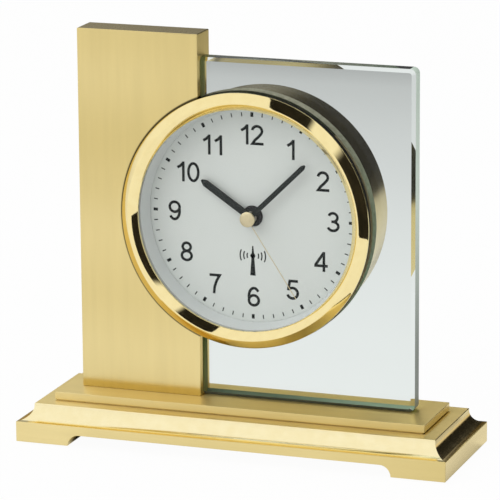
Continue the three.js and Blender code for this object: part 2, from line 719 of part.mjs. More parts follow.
function cannonWheel() {
  const pinion = gear(CANNON_PINION_TEETH, MOTION_MODULE, 0, MOTION_LEVEL);
  const wheel = gear(CENTRE_TEETH, TRAIN_MODULE, -INTERMEDIATE_ANGLE, MINUTE_LEVEL);
  const tube = rodAlongY(CANNON_RADIUS, MINUTE_FRONT, levelFront(MINUTE_LEVEL) + WHEEL_THICKNESS);
  const bore = rodAlongY(CANNON_BORE, MINUTE_FRONT - OVERCUT, levelFront(MINUTE_LEVEL + 1));
  return cut(join(pinion, wheel, tube), bore);
}

function motionWheel() {
  const wheelAngle = gapTowards(0, MOTION_TEETH);
  const wheel = gear(MOTION_TEETH, MOTION_MODULE, wheelAngle, MOTION_LEVEL, MOTION_CENTRE);
  const pinion = gear(MOTION_PINION_TEETH, HOUR_MODULE, 180, HOUR_LEVEL, MOTION_CENTRE);
  const neckRadius = ARBOR_RADIUS + RUNNING_GAP + TUBE_WALL;
  const neck = rodAlongY(neckRadius, levelFront(HOUR_LEVEL), levelFront(MOTION_LEVEL), MOTION_CENTRE);
  const bore = pivotHole(MOTION_CENTRE, TRAIN_FRONT, levelFront(MINUTE_LEVEL));
  return cut(join(wheel, pinion, neck), bore);
}

function secondsWheel() {
  const wheel = gear(CENTRE_TEETH, TRAIN_MODULE, INTERMEDIATE_ANGLE, SECONDS_LEVEL);
  return join(wheel, arbor({ x: 0, y: 0 }, CAP_BACK + SEAT_GAP));
}

// The pinion meets the centre wheel on its level, and the wheel behind it meets the rotor's pinion
function intermediate(side, level) {
  const centre = intermediateCentre(side);
  const pinionAngle = gapTowards(side * INTERMEDIATE_ANGLE, PINION_TEETH);
  const pinion = gear(PINION_TEETH, TRAIN_MODULE, pinionAngle, level, centre);
  const wheel = gear(INTERMEDIATE_TEETH, ROTOR_MODULE, side * ROTOR_ANGLE, level + 1, centre);
  return join(pinion, wheel, arbor(centre));
}

function rotorCentre(side) {
  return intermediateCentre(side).add(rotorStep(side));
}

function rotor(side, level, magnetFront) {
  const centre = rotorCentre(side);
  const pinionAngle = gapTowards(side * ROTOR_ANGLE, PINION_TEETH);
  const pinion = gear(PINION_TEETH, ROTOR_MODULE, pinionAngle, level, centre);
  const magnet = rodAlongY(MAGNET_RADIUS, magnetFront, magnetFront + MAGNET_THICKNESS, centre);
  return join(pinion, magnet, arbor(centre));
}

// A stator is a flat frame: a pad round the rotor, a plain leg and a leg through the coil
function statorPlaces(side) {
  const centre = rotorCentre(side);
  const padHalf = MAGNET_RADIUS + RUNNING_GAP + STATOR_RIM;
  const padTop = centre.y + padHalf;
  const coilBottom = padTop + SEAT_GAP;
  const yokeBottom = coilBottom + COIL_LENGTH + SEAT_GAP;
  return { centre, padHalf, padTop, coilBottom, yokeBottom, yokeTop: yokeBottom + STATOR_LEG };
}

function stator(side, front) {
  const { centre, padHalf, padTop, yokeBottom, yokeTop } = statorPlaces(side);
  const coilX = COIL_X * side;
  const inner = centre.x - side * padHalf;
  const coreOuter = coilX + (side * STATOR_LEG) / 2;
  const shape = outline([
    [inner, centre.y - padHalf],
    [coreOuter, centre.y - padHalf],
    [coreOuter, yokeTop],
    [inner, yokeTop],
  ]);
  const window = outline([
    [inner + side * STATOR_LEG, padTop],
    [coilX - (side * STATOR_LEG) / 2, padTop],
    [coilX - (side * STATOR_LEG) / 2, yokeBottom],
    [inner + side * STATOR_LEG, yokeBottom],
  ]);
  const back = front + STATOR_THICKNESS;
  const bore = rodAlongY(MAGNET_RADIUS + RUNNING_GAP, front - OVERCUT, back + OVERCUT, centre);
  return cut(plate(shape, front, back), plate(window, front - OVERCUT, back + OVERCUT), bore);
}

function coil(side, statorFront) {
  const { coilBottom } = statorPlaces(side);
  const top = coilBottom + COIL_LENGTH;
  const x = COIL_X * side;
  const y = statorFront + STATOR_THICKNESS / 2;
  const winding = rodAlongZ(COIL_RADIUS, coilBottom, top, x, y);
  const lower = rodAlongZ(COIL_FLANGE_RADIUS, coilBottom, coilBottom + BOBBIN_FLANGE_THICKNESS, x, y);
  const upper = rodAlongZ(COIL_FLANGE_RADIUS, top - BOBBIN_FLANGE_THICKNESS, top, x, y);
  const coreX = STATOR_LEG / 2 + SEAT_GAP;
  const coreY = STATOR_THICKNESS / 2 + SEAT_GAP;
  const slot = block(x - coreX, x + coreX, y - coreY, y + coreY, coilBottom - OVERCUT, top + OVERCUT);
  return cut(join(winding, lower, upper), slot);
}

// Shells and bridge
const SHELL_OUTER_X = SHELL_INNER_X + SHELL_WALL;
const SHELL_TOP = SHELL_INNER_TOP + SHELL_WALL;
const SHELL_BOTTOM = SHELL_INNER_BOTTOM - SHELL_WALL;
const MINUTE_STATOR_FRONT = levelFront(MINUTE_STATOR_LEVEL);
const SECONDS_STATOR_FRONT = levelFront(SECONDS_STATOR_LEVEL);
const BRIDGE_SHOULDER = intermediateCentre(1).y + ARBOR_RADIUS + BRIDGE_MARGIN;
const BRIDGE_HALF_TOP = COIL_X - COIL_FLANGE_RADIUS - BRIDGE_MARGIN;
const POST_Z = TRAIN_TOP - POST_RADIUS;
const POST_X = rotorCentre(1).x - statorPlaces(1).padHalf - POST_GAP - POST_RADIUS;
const LOW_POST = { x: 0, y: TRAIN_BOTTOM + POST_RADIUS };

function shellShape(inset) {
  const x = SHELL_OUTER_X - inset;
  return roundedRectangle(-x, x, SHELL_BOTTOM + inset, SHELL_TOP - inset, SHELL_CORNER - inset);
}

function pivotCentres() {
  return [intermediateCentre(1), intermediateCentre(-1), rotorCentre(1), rotorCentre(-1)];
}

function pivotHole(centre, y0, y1) {
  return rodAlongY(ARBOR_RADIUS + RUNNING_GAP, y0, y1, centre, ARBOR_FACETS);
}

function movementFront() {
  const wall = plate(shellShape(0), SHELL_FRONT, TRAIN_FRONT);
  const bush = rodAlongY(BUSH_RADIUS, DIAL_FRONT - BUSH_REACH, TRAIN_FRONT);
  const postEnd = BRIDGE_FRONT - SEAT_GAP;
  const posts = [{ x: POST_X, y: POST_Z }, { x: -POST_X, y: POST_Z }, LOW_POST]
    .map((centre) => rodAlongY(POST_RADIUS, SHELL_FRONT, postEnd, centre));
  const stud = arbor(MOTION_CENTRE, SHELL_FRONT, levelFront(MOTION_LEVEL) + WHEEL_THICKNESS);
  const statorPosts = [[1, SECONDS_STATOR_FRONT], [-1, MINUTE_STATOR_FRONT]].map(([side, front]) => {
    const { centre, padHalf } = statorPlaces(side);
    const seat = { x: COIL_X * side, y: centre.y - padHalf + POST_RADIUS };
    return rodAlongY(POST_RADIUS, SHELL_FRONT, front - SEAT_GAP, seat);
  });
  const bore = rodAlongY(BUSH_BORE, DIAL_FRONT - BUSH_REACH - OVERCUT, TRAIN_FRONT + OVERCUT);
  const pivotFront = TRAIN_FRONT - PIVOT_DEPTH - SEAT_GAP;
  const pivots = pivotCentres().map((centre) => pivotHole(centre, pivotFront, TRAIN_FRONT + OVERCUT));
  return cut(join(wall, bush, ...posts, stud, ...statorPosts, ...antennaCradles()), bore, ...pivots);
}

// Two notched cradles hold the ferrite rod beside its coil
function antennaCradles() {
  const near = ANTENNA_COIL_LENGTH / 2 + SEAT_GAP;
  const far = near + CRADLE_THICKNESS;
  const low = ANTENNA_Z - FERRITE_RADIUS;
  const high = ANTENNA_Z + FERRITE_RADIUS;
  const grooveEnd = far + OVERCUT;
  const groove = rodAlongX(FERRITE_RADIUS + SEAT_GAP, -grooveEnd, grooveEnd, ANTENNA_DEPTH, ANTENNA_Z);
  return [[near, far], [-far, -near]].map(([x0, x1]) => {
    return cut(block(x0, x1, SHELL_FRONT, ANTENNA_DEPTH, low, high), groove);
  });
}

function movementRear() {
  const front = TRAIN_FRONT + SEAT_GAP;
  const outer = plate(shellShape(0), front, SHELL_BACK);
  const hollow = plate(shellShape(SHELL_WALL), front - OVERCUT, SHELL_BACK - SHELL_WALL);
  const side = SHELL_INNER_X + SEAT_GAP;
  const ceiling = block(-side, side, front, SHELL_BACK, BAY_TOP, BAY_TOP + SHELL_WALL);
  const bayBack = SHELL_BACK + OVERCUT;
  const bay = block(-HATCH_HALF, HATCH_HALF, BATTERY_AXIS_DEPTH, bayBack, HATCH_BOTTOM, HATCH_TOP);
  const holes = buttonPlaces().map(({ centre }) => buttonHole(centre));
  return cut(join(cut(outer, hollow), ceiling), bay, ...holes);
}

// The bridge carries the rear pivots, with a narrow upper part that clears the coils
function trainBridge() {
  const half = rotorCentre(1).x + BRIDGE_MARGIN;
  const top = POST_Z + POST_RADIUS;
  const bottom = LOW_POST.y - POST_RADIUS;
  const shape = outline([
    [-half, bottom],
    [half, bottom],
    [half, BRIDGE_SHOULDER],
    [BRIDGE_HALF_TOP, BRIDGE_SHOULDER],
    [BRIDGE_HALF_TOP, top],
    [-BRIDGE_HALF_TOP, top],
    [-BRIDGE_HALF_TOP, BRIDGE_SHOULDER],
    [-half, BRIDGE_SHOULDER],
  ]);
  const centres = [...pivotCentres(), { x: 0, y: 0 }];
  const holes = centres.map((centre) => pivotHole(centre, BRIDGE_FRONT - OVERCUT, BRIDGE_BACK + OVERCUT));
  return cut(plate(shape, BRIDGE_FRONT, BRIDGE_BACK), ...holes);
}

function circuitBoard() {
  const top = TRAIN_TOP - SEAT_GAP;
  return block(-BOARD_WIDTH / 2, BOARD_WIDTH / 2, BOARD_FRONT, BOARD_BACK, top - BOARD_HEIGHT, top);
}

function antennaRod() {
  return rodAlongX(FERRITE_RADIUS, -FERRITE_LENGTH / 2, FERRITE_LENGTH / 2, ANTENNA_DEPTH, ANTENNA_Z);
}

function antennaCoil() {
  const half = ANTENNA_COIL_LENGTH / 2;
  const boreHalf = half + OVERCUT;
  const winding = rodAlongX(ANTENNA_COIL_RADIUS, -half, half, ANTENNA_DEPTH, ANTENNA_Z);
  return cut(winding, rodAlongX(FERRITE_RADIUS + SEAT_GAP, -boreHalf, boreHalf, ANTENNA_DEPTH, ANTENNA_Z));
}

// Battery and contacts; the nub is at the right-hand end
const BATTERY_LEFT = -SHELL_INNER_X + CONTACT_ROOM;

function battery() {
  const shoulder = BATTERY_LEFT + BATTERY_LENGTH;
  const can = rodAlongX(BATTERY_RADIUS, BATTERY_LEFT, shoulder, BATTERY_AXIS_DEPTH, BATTERY_Z);
  const nubEnd = shoulder + BATTERY_NUB_LENGTH;
  const nub = rodAlongX(BATTERY_NUB_RADIUS, shoulder - SEAT_GAP, nubEnd, BATTERY_AXIS_DEPTH, BATTERY_Z);
  return join(can, nub);
}

// A sheet contact: a flat strip on the end wall, bowed out to the battery in the middle
function contact(wallX, reachX) {
  const side = Math.sign(reachX - wallX);
  const half = CONTACT_WIDTH / 2;
  const flat = CONTACT_FLAT / 2;
  const shape = outline([
    [wallX, -BATTERY_RADIUS],
    [wallX + side * CONTACT_THICKNESS, -BATTERY_RADIUS],
    [wallX + side * CONTACT_THICKNESS, -half],
    [reachX, -flat],
    [reachX, flat],
    [wallX + side * CONTACT_THICKNESS, half],
    [wallX, half],
    [reachX - side * CONTACT_THICKNESS, flat],
    [reachX - side * CONTACT_THICKNESS, -flat],
    [wallX, -half],
  ]);
  const geometry = new THREE.ExtrudeGeometry(shape, { depth: CONTACT_WIDTH, bevelEnabled: false });
  geometry.translate(0, BATTERY_AXIS_DEPTH, BATTERY_Z - half);
  return solid(geometry);
}

// Back panel, hatch and buttons
const HATCH_HALF = BATTERY_HALF_ROOM - CONTACT_ROOM + SEAT_GAP;
const HATCH_TOP = BAY_TOP - SEAT_GAP;
const HATCH_BOTTOM = BATTERY_Z - BATTERY_RADIUS;

function buttonPlaces() {
  return [
    { name: 'set_button', centre: { x: -BUTTON_SPACING, y: BUTTON_RISE } },
    { name: 'receive_button', centre: { x: 0, y: BUTTON_RISE } },
    { name: 'reset_button', centre: { x: BUTTON_SPACING, y: BUTTON_RISE } },
  ];
}

function buttonHole(centre) {
  const front = SHELL_BACK - SHELL_WALL - OVERCUT;
  return rodAlongY(BUTTON_RADIUS + SEAT_GAP, front, PANEL_BACK + OVERCUT, centre);
}

function button(centre) {
  const foot = BOARD_BACK + SEAT_GAP + BUTTON_TRAVEL;
  const flangeBack = SHELL_BACK - SHELL_WALL - SEAT_GAP;
  const stem = rodAlongY(BUTTON_RADIUS, foot, PANEL_BACK + BUTTON_TRAVEL, centre);
  const flangeRadius = BUTTON_RADIUS + BUTTON_FLANGE;
  return join(stem, rodAlongY(flangeRadius, flangeBack - BUTTON_FLANGE_THICKNESS, flangeBack, centre));
}

function rearPanel() {
  const disc = turnedDisc(CASE_INNER - SEAT_GAP, PANEL_FRONT, PANEL_BACK);
  const bossX = SHELL_INNER_X - PANEL_BOSS_RADIUS;
  const bosses = [[bossX, ANTENNA_Z], [-bossX, ANTENNA_Z], [bossX, 0], [-bossX, 0]]
    .map(([x, y]) => rodAlongY(PANEL_BOSS_RADIUS, SHELL_BACK + SEAT_GAP, PANEL_BACK, { x, y }));
  const front = PANEL_FRONT - OVERCUT;
  const back = PANEL_BACK + OVERCUT;
  const window = block(-HATCH_HALF, HATCH_HALF, front, back, HATCH_BOTTOM, HATCH_TOP);
  return cut(join(disc, ...bosses), window, ...buttonPlaces().map(({ centre }) => buttonHole(centre)));
}

// The hatch fills the window in the panel and has finger ridges on its back
function batteryHatch() {
  const half = HATCH_HALF - SEAT_GAP;
  const lid = block(-half, half, PANEL_FRONT, PANEL_BACK, HATCH_BOTTOM + SEAT_GAP, HATCH_TOP - SEAT_GAP);
  const ridges = [];
  for (let count = 0; count < HATCH_RIDGES; count += 1) {
    const z = (HATCH_BOTTOM + HATCH_TOP) / 2 + (count - (HATCH_RIDGES - 1) / 2) * HATCH_RIDGE_PITCH;
    const reach = HATCH_RIDGE_LENGTH / 2;
    const thick = HATCH_RIDGE_WIDTH / 2;
    ridges.push(block(-reach, reach, PANEL_FRONT, PANEL_BACK + HATCH_RIDGE, z - thick, z + thick));
  }
  return join(lid, ...ridges);
}

// Assembly
const stand = new THREE.Group();
piece(stand, 'base_moulding', baseMoulding(), satinBrass);
piece(stand, 'base_top_plate', baseTopPlate(), satinBrass);
[['front', -1], ['back', 1]].forEach(([row, sideY]) => {
  [['left', -1], ['right', 1]].forEach(([end, sideX]) => {
    piece(stand, `foot_pad_${row}_${end}`, footPad(sideX, sideY), felt);
  });
});
screwPlaces().forEach((place) => piece(stand, place.name, screw(place), zincSteel));
piece(stand, 'pillar', pillar(), satinBrass);
piece(stand, 'glass_pane', glassPane(), clearGlass);

const insert = new THREE.Group();
insert.position.z = AXIS_HEIGHT;
piece(insert, 'case_drum', caseDrum(), satinBrass);
piece(insert, 'bezel', bezel(), polishedBrass);
const gripOuter = GRIP_INNER + GRIP_THICKNESS;
const gripFront = UPRIGHT_SETBACK - GRIP_WIDTH / 2;
const gripBack = UPRIGHT_SETBACK + GRIP_WIDTH / 2;
const grip = ring(GRIP_INNER, gripOuter, gripFront, gripBack, HIDDEN_RING_FACETS);
piece(insert, 'grip_band', grip, blackRubber);
piece(insert, 'crystal', crystal(), clearGlass);
const gasket = ring(GASKET_INNER, GASKET_OUTER, CRYSTAL_FRONT, CRYSTAL_BACK, HIDDEN_RING_FACETS);
piece(insert, 'crystal_gasket', gasket, blackRubber);
piece(insert, 'rehaut_ring', rehautRing(), whitePaint);
piece(insert, 'dial', dial(), whitePaint);

const hourBore = HOUR_TUBE_RADIUS + SEAT_GAP;
const hourHand = batonHand(HOUR_LENGTH, HOUR_WIDTH, HOUR_TAPER, hourBore, HOUR_FRONT);
const hourTurn = DEGREES_PER_HOUR * (REST_HOUR + REST_MINUTE / 60);
piece(insert, 'hour_hand', hourHand, blackPaint).rotation.y = THREE.MathUtils.degToRad(hourTurn);
const minuteBore = CANNON_RADIUS + SEAT_GAP;
const minuteHand = batonHand(MINUTE_LENGTH, MINUTE_WIDTH, MINUTE_TAPER, minuteBore, MINUTE_FRONT);
const minuteTurn = DEGREES_PER_MINUTE * REST_MINUTE;
piece(insert, 'minute_hand', minuteHand, blackPaint).rotation.y = THREE.MathUtils.degToRad(minuteTurn);
const secondTurn = DEGREES_PER_MINUTE * REST_SECOND;
piece(insert, 'second_hand', secondHand(), polishedBrass).rotation.y = THREE.MathUtils.degToRad(secondTurn);

piece(insert, 'movement_front', movementFront(), blackPlastic);
piece(insert, 'movement_rear', movementRear(), whitePlastic);
piece(insert, 'train_bridge', trainBridge(), whitePlastic);
piece(insert, 'hour_wheel', hourWheel(), whitePlastic);
piece(insert, 'motion_wheel', motionWheel(), whitePlastic);
piece(insert, 'cannon_wheel', cannonWheel(), whitePlastic);
piece(insert, 'minute_intermediate', intermediate(-1, MINUTE_LEVEL), whitePlastic);
piece(insert, 'minute_rotor', rotor(-1, MINUTE_LEVEL + 1, MINUTE_STATOR_FRONT), darkFerrite);
piece(insert, 'minute_stator', stator(-1, MINUTE_STATOR_FRONT), zincSteel);
piece(insert, 'minute_coil', coil(-1, MINUTE_STATOR_FRONT), copperWire);
piece(insert, 'seconds_wheel', secondsWheel(), whitePlastic);
piece(insert, 'seconds_intermediate', intermediate(1, SECONDS_LEVEL), whitePlastic);
piece(insert, 'seconds_rotor', rotor(1, SECONDS_LEVEL + 1, SECONDS_STATOR_FRONT), darkFerrite);
piece(insert, 'seconds_stator', stator(1, SECONDS_STATOR_FRONT), zincSteel);
piece(insert, 'seconds_coil', coil(1, SECONDS_STATOR_FRONT), copperWire);
piece(insert, 'circuit_board', circuitBoard(), greenBoard);
piece(insert, 'antenna_rod', antennaRod(), darkFerrite);
piece(insert, 'antenna_coil', antennaCoil(), copperWire);
piece(insert, 'battery', battery(), batterySleeve);
const nubEnd = BATTERY_LEFT + BATTERY_LENGTH + BATTERY_NUB_LENGTH;
piece(insert, 'contact_positive', contact(SHELL_INNER_X - SEAT_GAP, nubEnd + SEAT_GAP), zincSteel);
piece(insert, 'contact_negative', contact(-SHELL_INNER_X + SEAT_GAP, BATTERY_LEFT - SEAT_GAP), zincSteel);
piece(insert, 'rear_panel', rearPanel(), blackPlastic);
piece(insert, 'battery_hatch', batteryHatch(), blackPlastic);
buttonPlaces().forEach(({ name, centre }) => piece(insert, name, button(centre), blackPlastic));

const clock = new THREE.Group();
clock.add(stand, insert);

export default clock;
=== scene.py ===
# %% [markdown]
# # A table clock in brass and glass
# A round clock insert with a polished bezel sits in a bay. One half of the bay is cut into a flat brass
# pillar and the other half into a pane of glass, and both stand on a stepped brass base.
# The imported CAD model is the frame: it gives the sizes and the places, and it knows which pieces turn.
# This lesson makes finer forms around it, gives each surface its finish and sets up a small studio.

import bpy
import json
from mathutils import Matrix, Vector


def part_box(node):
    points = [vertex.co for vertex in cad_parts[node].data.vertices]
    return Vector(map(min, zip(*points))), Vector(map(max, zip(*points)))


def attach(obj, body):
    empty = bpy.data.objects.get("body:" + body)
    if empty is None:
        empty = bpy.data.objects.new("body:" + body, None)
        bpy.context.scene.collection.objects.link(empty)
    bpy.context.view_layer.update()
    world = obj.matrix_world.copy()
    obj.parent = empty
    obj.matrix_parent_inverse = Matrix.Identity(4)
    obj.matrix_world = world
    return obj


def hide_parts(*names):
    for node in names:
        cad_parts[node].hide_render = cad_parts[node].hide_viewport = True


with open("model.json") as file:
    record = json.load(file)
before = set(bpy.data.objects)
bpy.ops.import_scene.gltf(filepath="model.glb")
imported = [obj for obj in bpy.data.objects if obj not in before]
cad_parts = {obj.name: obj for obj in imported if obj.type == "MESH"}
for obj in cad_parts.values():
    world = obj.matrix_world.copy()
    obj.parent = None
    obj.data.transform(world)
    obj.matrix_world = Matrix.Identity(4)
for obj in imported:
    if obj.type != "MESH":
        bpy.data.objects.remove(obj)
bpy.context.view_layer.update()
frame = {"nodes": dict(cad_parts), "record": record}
print("nodes in the frame:", len(frame["nodes"]))

# %% Modules and units
import json
import math

import bmesh
import bpy
from mathutils import Matrix, Quaternion, Vector
from mathutils.geometry import delaunay_2d_cdt

MM = 0.001
QUARTER = math.pi / 2
collection = bpy.context.scene.collection

# %% [markdown]
# ## The camera
# The clock is seen from a little above and from its right, through a long lens, so that upright edges
# stay nearly parallel. The place, the aim and the slight roll were found by matching corners of the base,
# the pillar and the bezel to where they lie in the picture. The camera comes first, because every finish
# is judged through it.

# %% Place the camera
CAMERA_PLACE = Vector((0.47477, -1.33471, 0.42601))
CAMERA_AIM = Vector((0.00004, 0, 0.07991))
CAMERA_ROLL = math.radians(-0.41)
CAMERA_LENS = 264.5
CAMERA_SENSOR = 36

camera_data = bpy.data.cameras.new("studio_camera")
camera_data.lens = CAMERA_LENS
camera_data.sensor_width = CAMERA_SENSOR
camera = bpy.data.objects.new("studio_camera", camera_data)
collection.objects.link(camera)
look = (CAMERA_AIM - CAMERA_PLACE).to_track_quat("-Z", "Y")
camera.location = CAMERA_PLACE
camera.rotation_mode = "QUATERNION"
camera.rotation_quaternion = look @ Quaternion((0, 0, 1), CAMERA_ROLL)
bpy.context.scene.camera = camera
print("camera distance:", round((CAMERA_AIM - CAMERA_PLACE).length, 3), "m")

# %% [markdown]
# ## Sizes from the frame
# Every main size is read from the box of a CAD node, so that a new pack moves the dressed pieces with it.
# Sizes that no box shows, such as the depth of a bevel, are named where a piece first needs them.

# %% Read the main sizes
base_low, base_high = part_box("base_moulding")
plate_low, plate_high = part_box("base_top_plate")
pillar_low, pillar_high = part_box("pillar")
glass_low, glass_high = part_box("glass_pane")
drum_low, drum_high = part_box("case_drum")
bezel_low, bezel_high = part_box("bezel")
grip_low, grip_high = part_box("grip_band")
dial_low, dial_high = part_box("dial")

SEAT_GAP = 0.3 * MM


def half_width(low, high):
    """Half the width of a box, which is the radius of a turned piece."""
    return (high.x - low.x) / 2


CLOCK_AXIS = Vector((0, 0, (bezel_low.z + bezel_high.z) / 2))
BAY_RADIUS = half_width(grip_low, grip_high) + SEAT_GAP
print("clock axis at", round(CLOCK_AXIS.z / MM, 2), "mm, bay radius", round(BAY_RADIUS / MM, 2), "mm")

# %% [markdown]
# ## Helpers for every piece
# A finished piece is a mesh with smooth shading that stops at real edges, a finish, a body to ride on and
# the CAD nodes that it stands for. No edge of a real part is perfectly sharp, so one helper breaks the
# edges with a small bevel that catches the light. Flat pieces start from an outline: its straight corners
# are single vertices, its round stretches are one vertex spun into an arc, and the face is extruded.

# %% Helper: finish a piece
CREASE = math.radians(14)


def finished_piece(bm, name, finishes, body, slot, *replaced):
    """Make an object of a bmesh; it wears one finish or a list, rides on a body and stands for CAD nodes."""
    for face in bm.faces:
        face.smooth = True
    for edge in bm.edges:
        edge.smooth = not edge.is_manifold or edge.calc_face_angle() < CREASE
    mesh = bpy.data.meshes.new(name)
    bm.to_mesh(mesh)
    bm.free()
    for finish in finishes if isinstance(finishes, list) else [finishes]:
        mesh.materials.append(finish)
    piece = bpy.data.objects.new(name, mesh)
    collection.objects.link(piece)
    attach(piece, body)
    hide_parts(*replaced)
    print(f"{name}: {len(mesh.polygons)} faces")
    return piece


# %% Helper: another finish on some faces
# The share of a face's normal along an axis that it faces, or that it is only slanted towards.
FACING = 0.9
SLANTED = 0.5


def wear(bm, finishes, finish, chosen):
    """Give one finish of a piece's list to the faces that a test picks."""
    number = finishes.index(finish)
    bm.normal_update()
    for face in bm.faces:
        if chosen(face):
            face.material_index = number


# %% Helper: break the sharp edges
def bevel(bm, edges, width, segments):
    """Cut edges to a flat with one segment, or round them with more."""
    bmesh.ops.bevel(
        bm, geom=edges, offset=width, offset_type="OFFSET", affect="EDGES",
        segments=segments, profile=0.5, material=-1, clamp_overlap=True,
    )


def break_edges(bm, width, segments=2, above=30, hollows=True):
    """Round every edge whose faces meet at more than an angle in degrees, or only those that stand out."""
    limit = math.radians(above)
    bm.normal_update()
    sharp = [edge for edge in bm.edges if edge.is_manifold and edge.calc_face_angle() > limit]
    bevel(bm, [edge for edge in sharp if hollows or edge.is_convex], width, segments)


# %% Helper: arcs and extrusions
def clockwise(angle):
    """The direction at an angle from twelve, clockwise as seen from the front."""
    return Vector((math.sin(angle), 0, math.cos(angle)))


def arc(bm, start, centre, sweep, steps):
    """Spin one vertex about a line along Y; a positive sweep is clockwise as seen from the front."""
    first = bm.verts.new(start)
    bmesh.ops.spin(
        bm, geom=[first], cent=centre, axis=(0, 1, 0), angle=sweep, steps=steps, use_merge=False,
    )
    bm.verts.ensure_lookup_table()
    return bm.verts[len(bm.verts) - steps - 1:]


def extruded(bm, region, way):
    """Extrude a region, move what has grown, turn all faces outwards and return the new end faces."""
    grown = bmesh.ops.extrude_face_region(bm, geom=region)["geom"]
    moved = [part for part in grown if isinstance(part, bmesh.types.BMVert)]
    bmesh.ops.translate(bm, verts=moved, vec=way)
    bmesh.ops.recalc_face_normals(bm, faces=bm.faces[:])
    return [part for part in grown if isinstance(part, bmesh.types.BMFace)]


def thicken(bm, depth):
    """Give a flat sheet its thickness along Y; only faces are extruded, so the sheet stays as one side."""
    extruded(bm, bm.faces[:], (0, depth, 0))


def extruded_plate(bm, outline, thickness):
    """Fill an outline with one face and extrude it towards the back."""
    bm.faces.new(outline)
    thicken(bm, thickness)


def drawn_out(bm, faces, way):
    """Extrude faces of a closed shell; their edges go along, so that no inner wall stays behind."""
    edges = list(dict.fromkeys(edge for face in faces for edge in face.edges))
    return extruded(bm, [*faces, *edges], way)


# %% Helper: turned pieces
TURN_STEPS = 144
WELD = 0.0001 * MM


def turned(profile, centre=CLOCK_AXIS, steps=TURN_STEPS):
    """Spin a profile of (radius, depth) points once round a line along Y, as a lathe does."""
    bm = bmesh.new()
    points = [bm.verts.new(centre + Vector((0, depth, radius))) for radius, depth in profile]
    for first, second in zip(points, points[1:]):
        bm.edges.new((first, second))
    if profile[0][0] > 0:
        bm.edges.new((points[-1], points[0]))
    bmesh.ops.spin(
        bm, geom=bm.verts[:] + bm.edges[:], cent=centre, axis=(0, 1, 0),
        angle=math.tau, steps=steps, use_merge=True,
    )
    bmesh.ops.remove_doubles(bm, verts=bm.verts[:], dist=WELD)
    bmesh.ops.recalc_face_normals(bm, faces=bm.faces[:])
    return bm


# %% [markdown]
# ## Finishes
# Each finish is a small recipe of nodes on the piece's own Object coordinates, so that a pattern has its
# real size in millimetres. Noise that is stretched along one direction gives the grain of a brush, and the
# same noise moves the colour, the gloss and the relief a little. That is what keeps a surface from looking
# like one flat colour.

# %% Helper: a finish, its coordinates and its grain
def new_finish(name):
    """A material with its node tree and its shader."""
    material = bpy.data.materials.new(name)
    material.use_nodes = True
    tree = material.node_tree
    return material, tree, tree.nodes["Principled BSDF"]


def object_place(tree):
    """The piece's own coordinates, in metres."""
    return tree.nodes.new("ShaderNodeTexCoord").outputs["Object"]


def object_axes(tree):
    """The piece's own coordinates as three numbers, by the name of the axis."""
    split = tree.nodes.new("ShaderNodeSeparateXYZ")
    tree.links.new(object_place(tree), split.inputs["Vector"])
    return split.outputs


def grain(tree, scale, detail=3.0, shift=0.0):
    """Noise with one scale, or one for each axis: a scale of 1000 gives features about 1 mm wide."""
    stretch = tree.nodes.new("ShaderNodeMapping")
    stretch.inputs["Scale"].default_value = (scale,) * 3 if isinstance(scale, int) else scale
    stretch.inputs["Location"].default_value = (shift,) * 3
    noise = tree.nodes.new("ShaderNodeTexNoise")
    noise.inputs["Scale"].default_value = 1
    noise.inputs["Detail"].default_value = detail
    tree.links.new(object_place(tree), stretch.inputs["Vector"])
    tree.links.new(stretch.outputs["Vector"], noise.inputs["Vector"])
    return noise.outputs["Fac"]


# %% Helper: numbers that follow a value
GRAIN_MIDDLE = (0.32, 0.68)
RANGE_SOCKETS = ("From Min", "From Max", "To Min", "To Max")


def remapped(tree, value, start, full, low=0.0, high=1.0, interpolation="LINEAR"):
    """A number that goes from low to high while a value goes from its start to its full measure."""
    change = tree.nodes.new("ShaderNodeMapRange")
    change.interpolation_type = interpolation
    for name, number in zip(RANGE_SOCKETS, (start, full, low, high)):
        change.inputs[name].default_value = number
    tree.links.new(value, change.inputs["Value"])
    return change.outputs["Result"]


def eased(tree, value, start, full, low=0.0, high=1.0):
    """A remapped number that starts and ends softly."""
    return remapped(tree, value, start, full, low, high, "SMOOTHSTEP")


def ranged(tree, value, low, high, socket):
    """Drive a number socket from low to high by a noise."""
    tree.links.new(remapped(tree, value, *GRAIN_MIDDLE, low, high), socket)


# %% Helper: colours and relief
def tinted(tree, value, dark, light, socket):
    """Drive a colour socket from dark to light by a noise."""
    ramp = tree.nodes.new("ShaderNodeValToRGB")
    for stop, position, colour in zip(ramp.color_ramp.elements, GRAIN_MIDDLE, (dark, light)):
        stop.position = position
        stop.color = (*colour, 1)
    tree.links.new(value, ramp.inputs["Fac"])
    tree.links.new(ramp.outputs["Color"], socket)


def relief(tree, value, depth, shader, strength=0.5):
    """Raise and sink the surface by a noise, with a depth in metres."""
    bump = tree.nodes.new("ShaderNodeBump")
    bump.inputs["Strength"].default_value = strength
    bump.inputs["Distance"].default_value = depth
    tree.links.new(value, bump.inputs["Height"])
    tree.links.new(bump.outputs["Normal"], shader.inputs["Normal"])


def scale_colour(material, measure, start, full, level):
    """Scale a finish's colour from a level, where a measure is at its start, up to its own strength."""
    tree = material.node_tree
    colour = tree.nodes["Principled BSDF"].inputs["Base Color"]
    scaled = tree.nodes.new("ShaderNodeVectorMath")
    scaled.operation = "SCALE"
    tree.links.new(colour.links[0].from_socket, scaled.inputs[0])
    tree.links.new(eased(tree, measure, start, full, level), scaled.inputs["Scale"])
    tree.links.new(scaled.outputs["Vector"], colour)


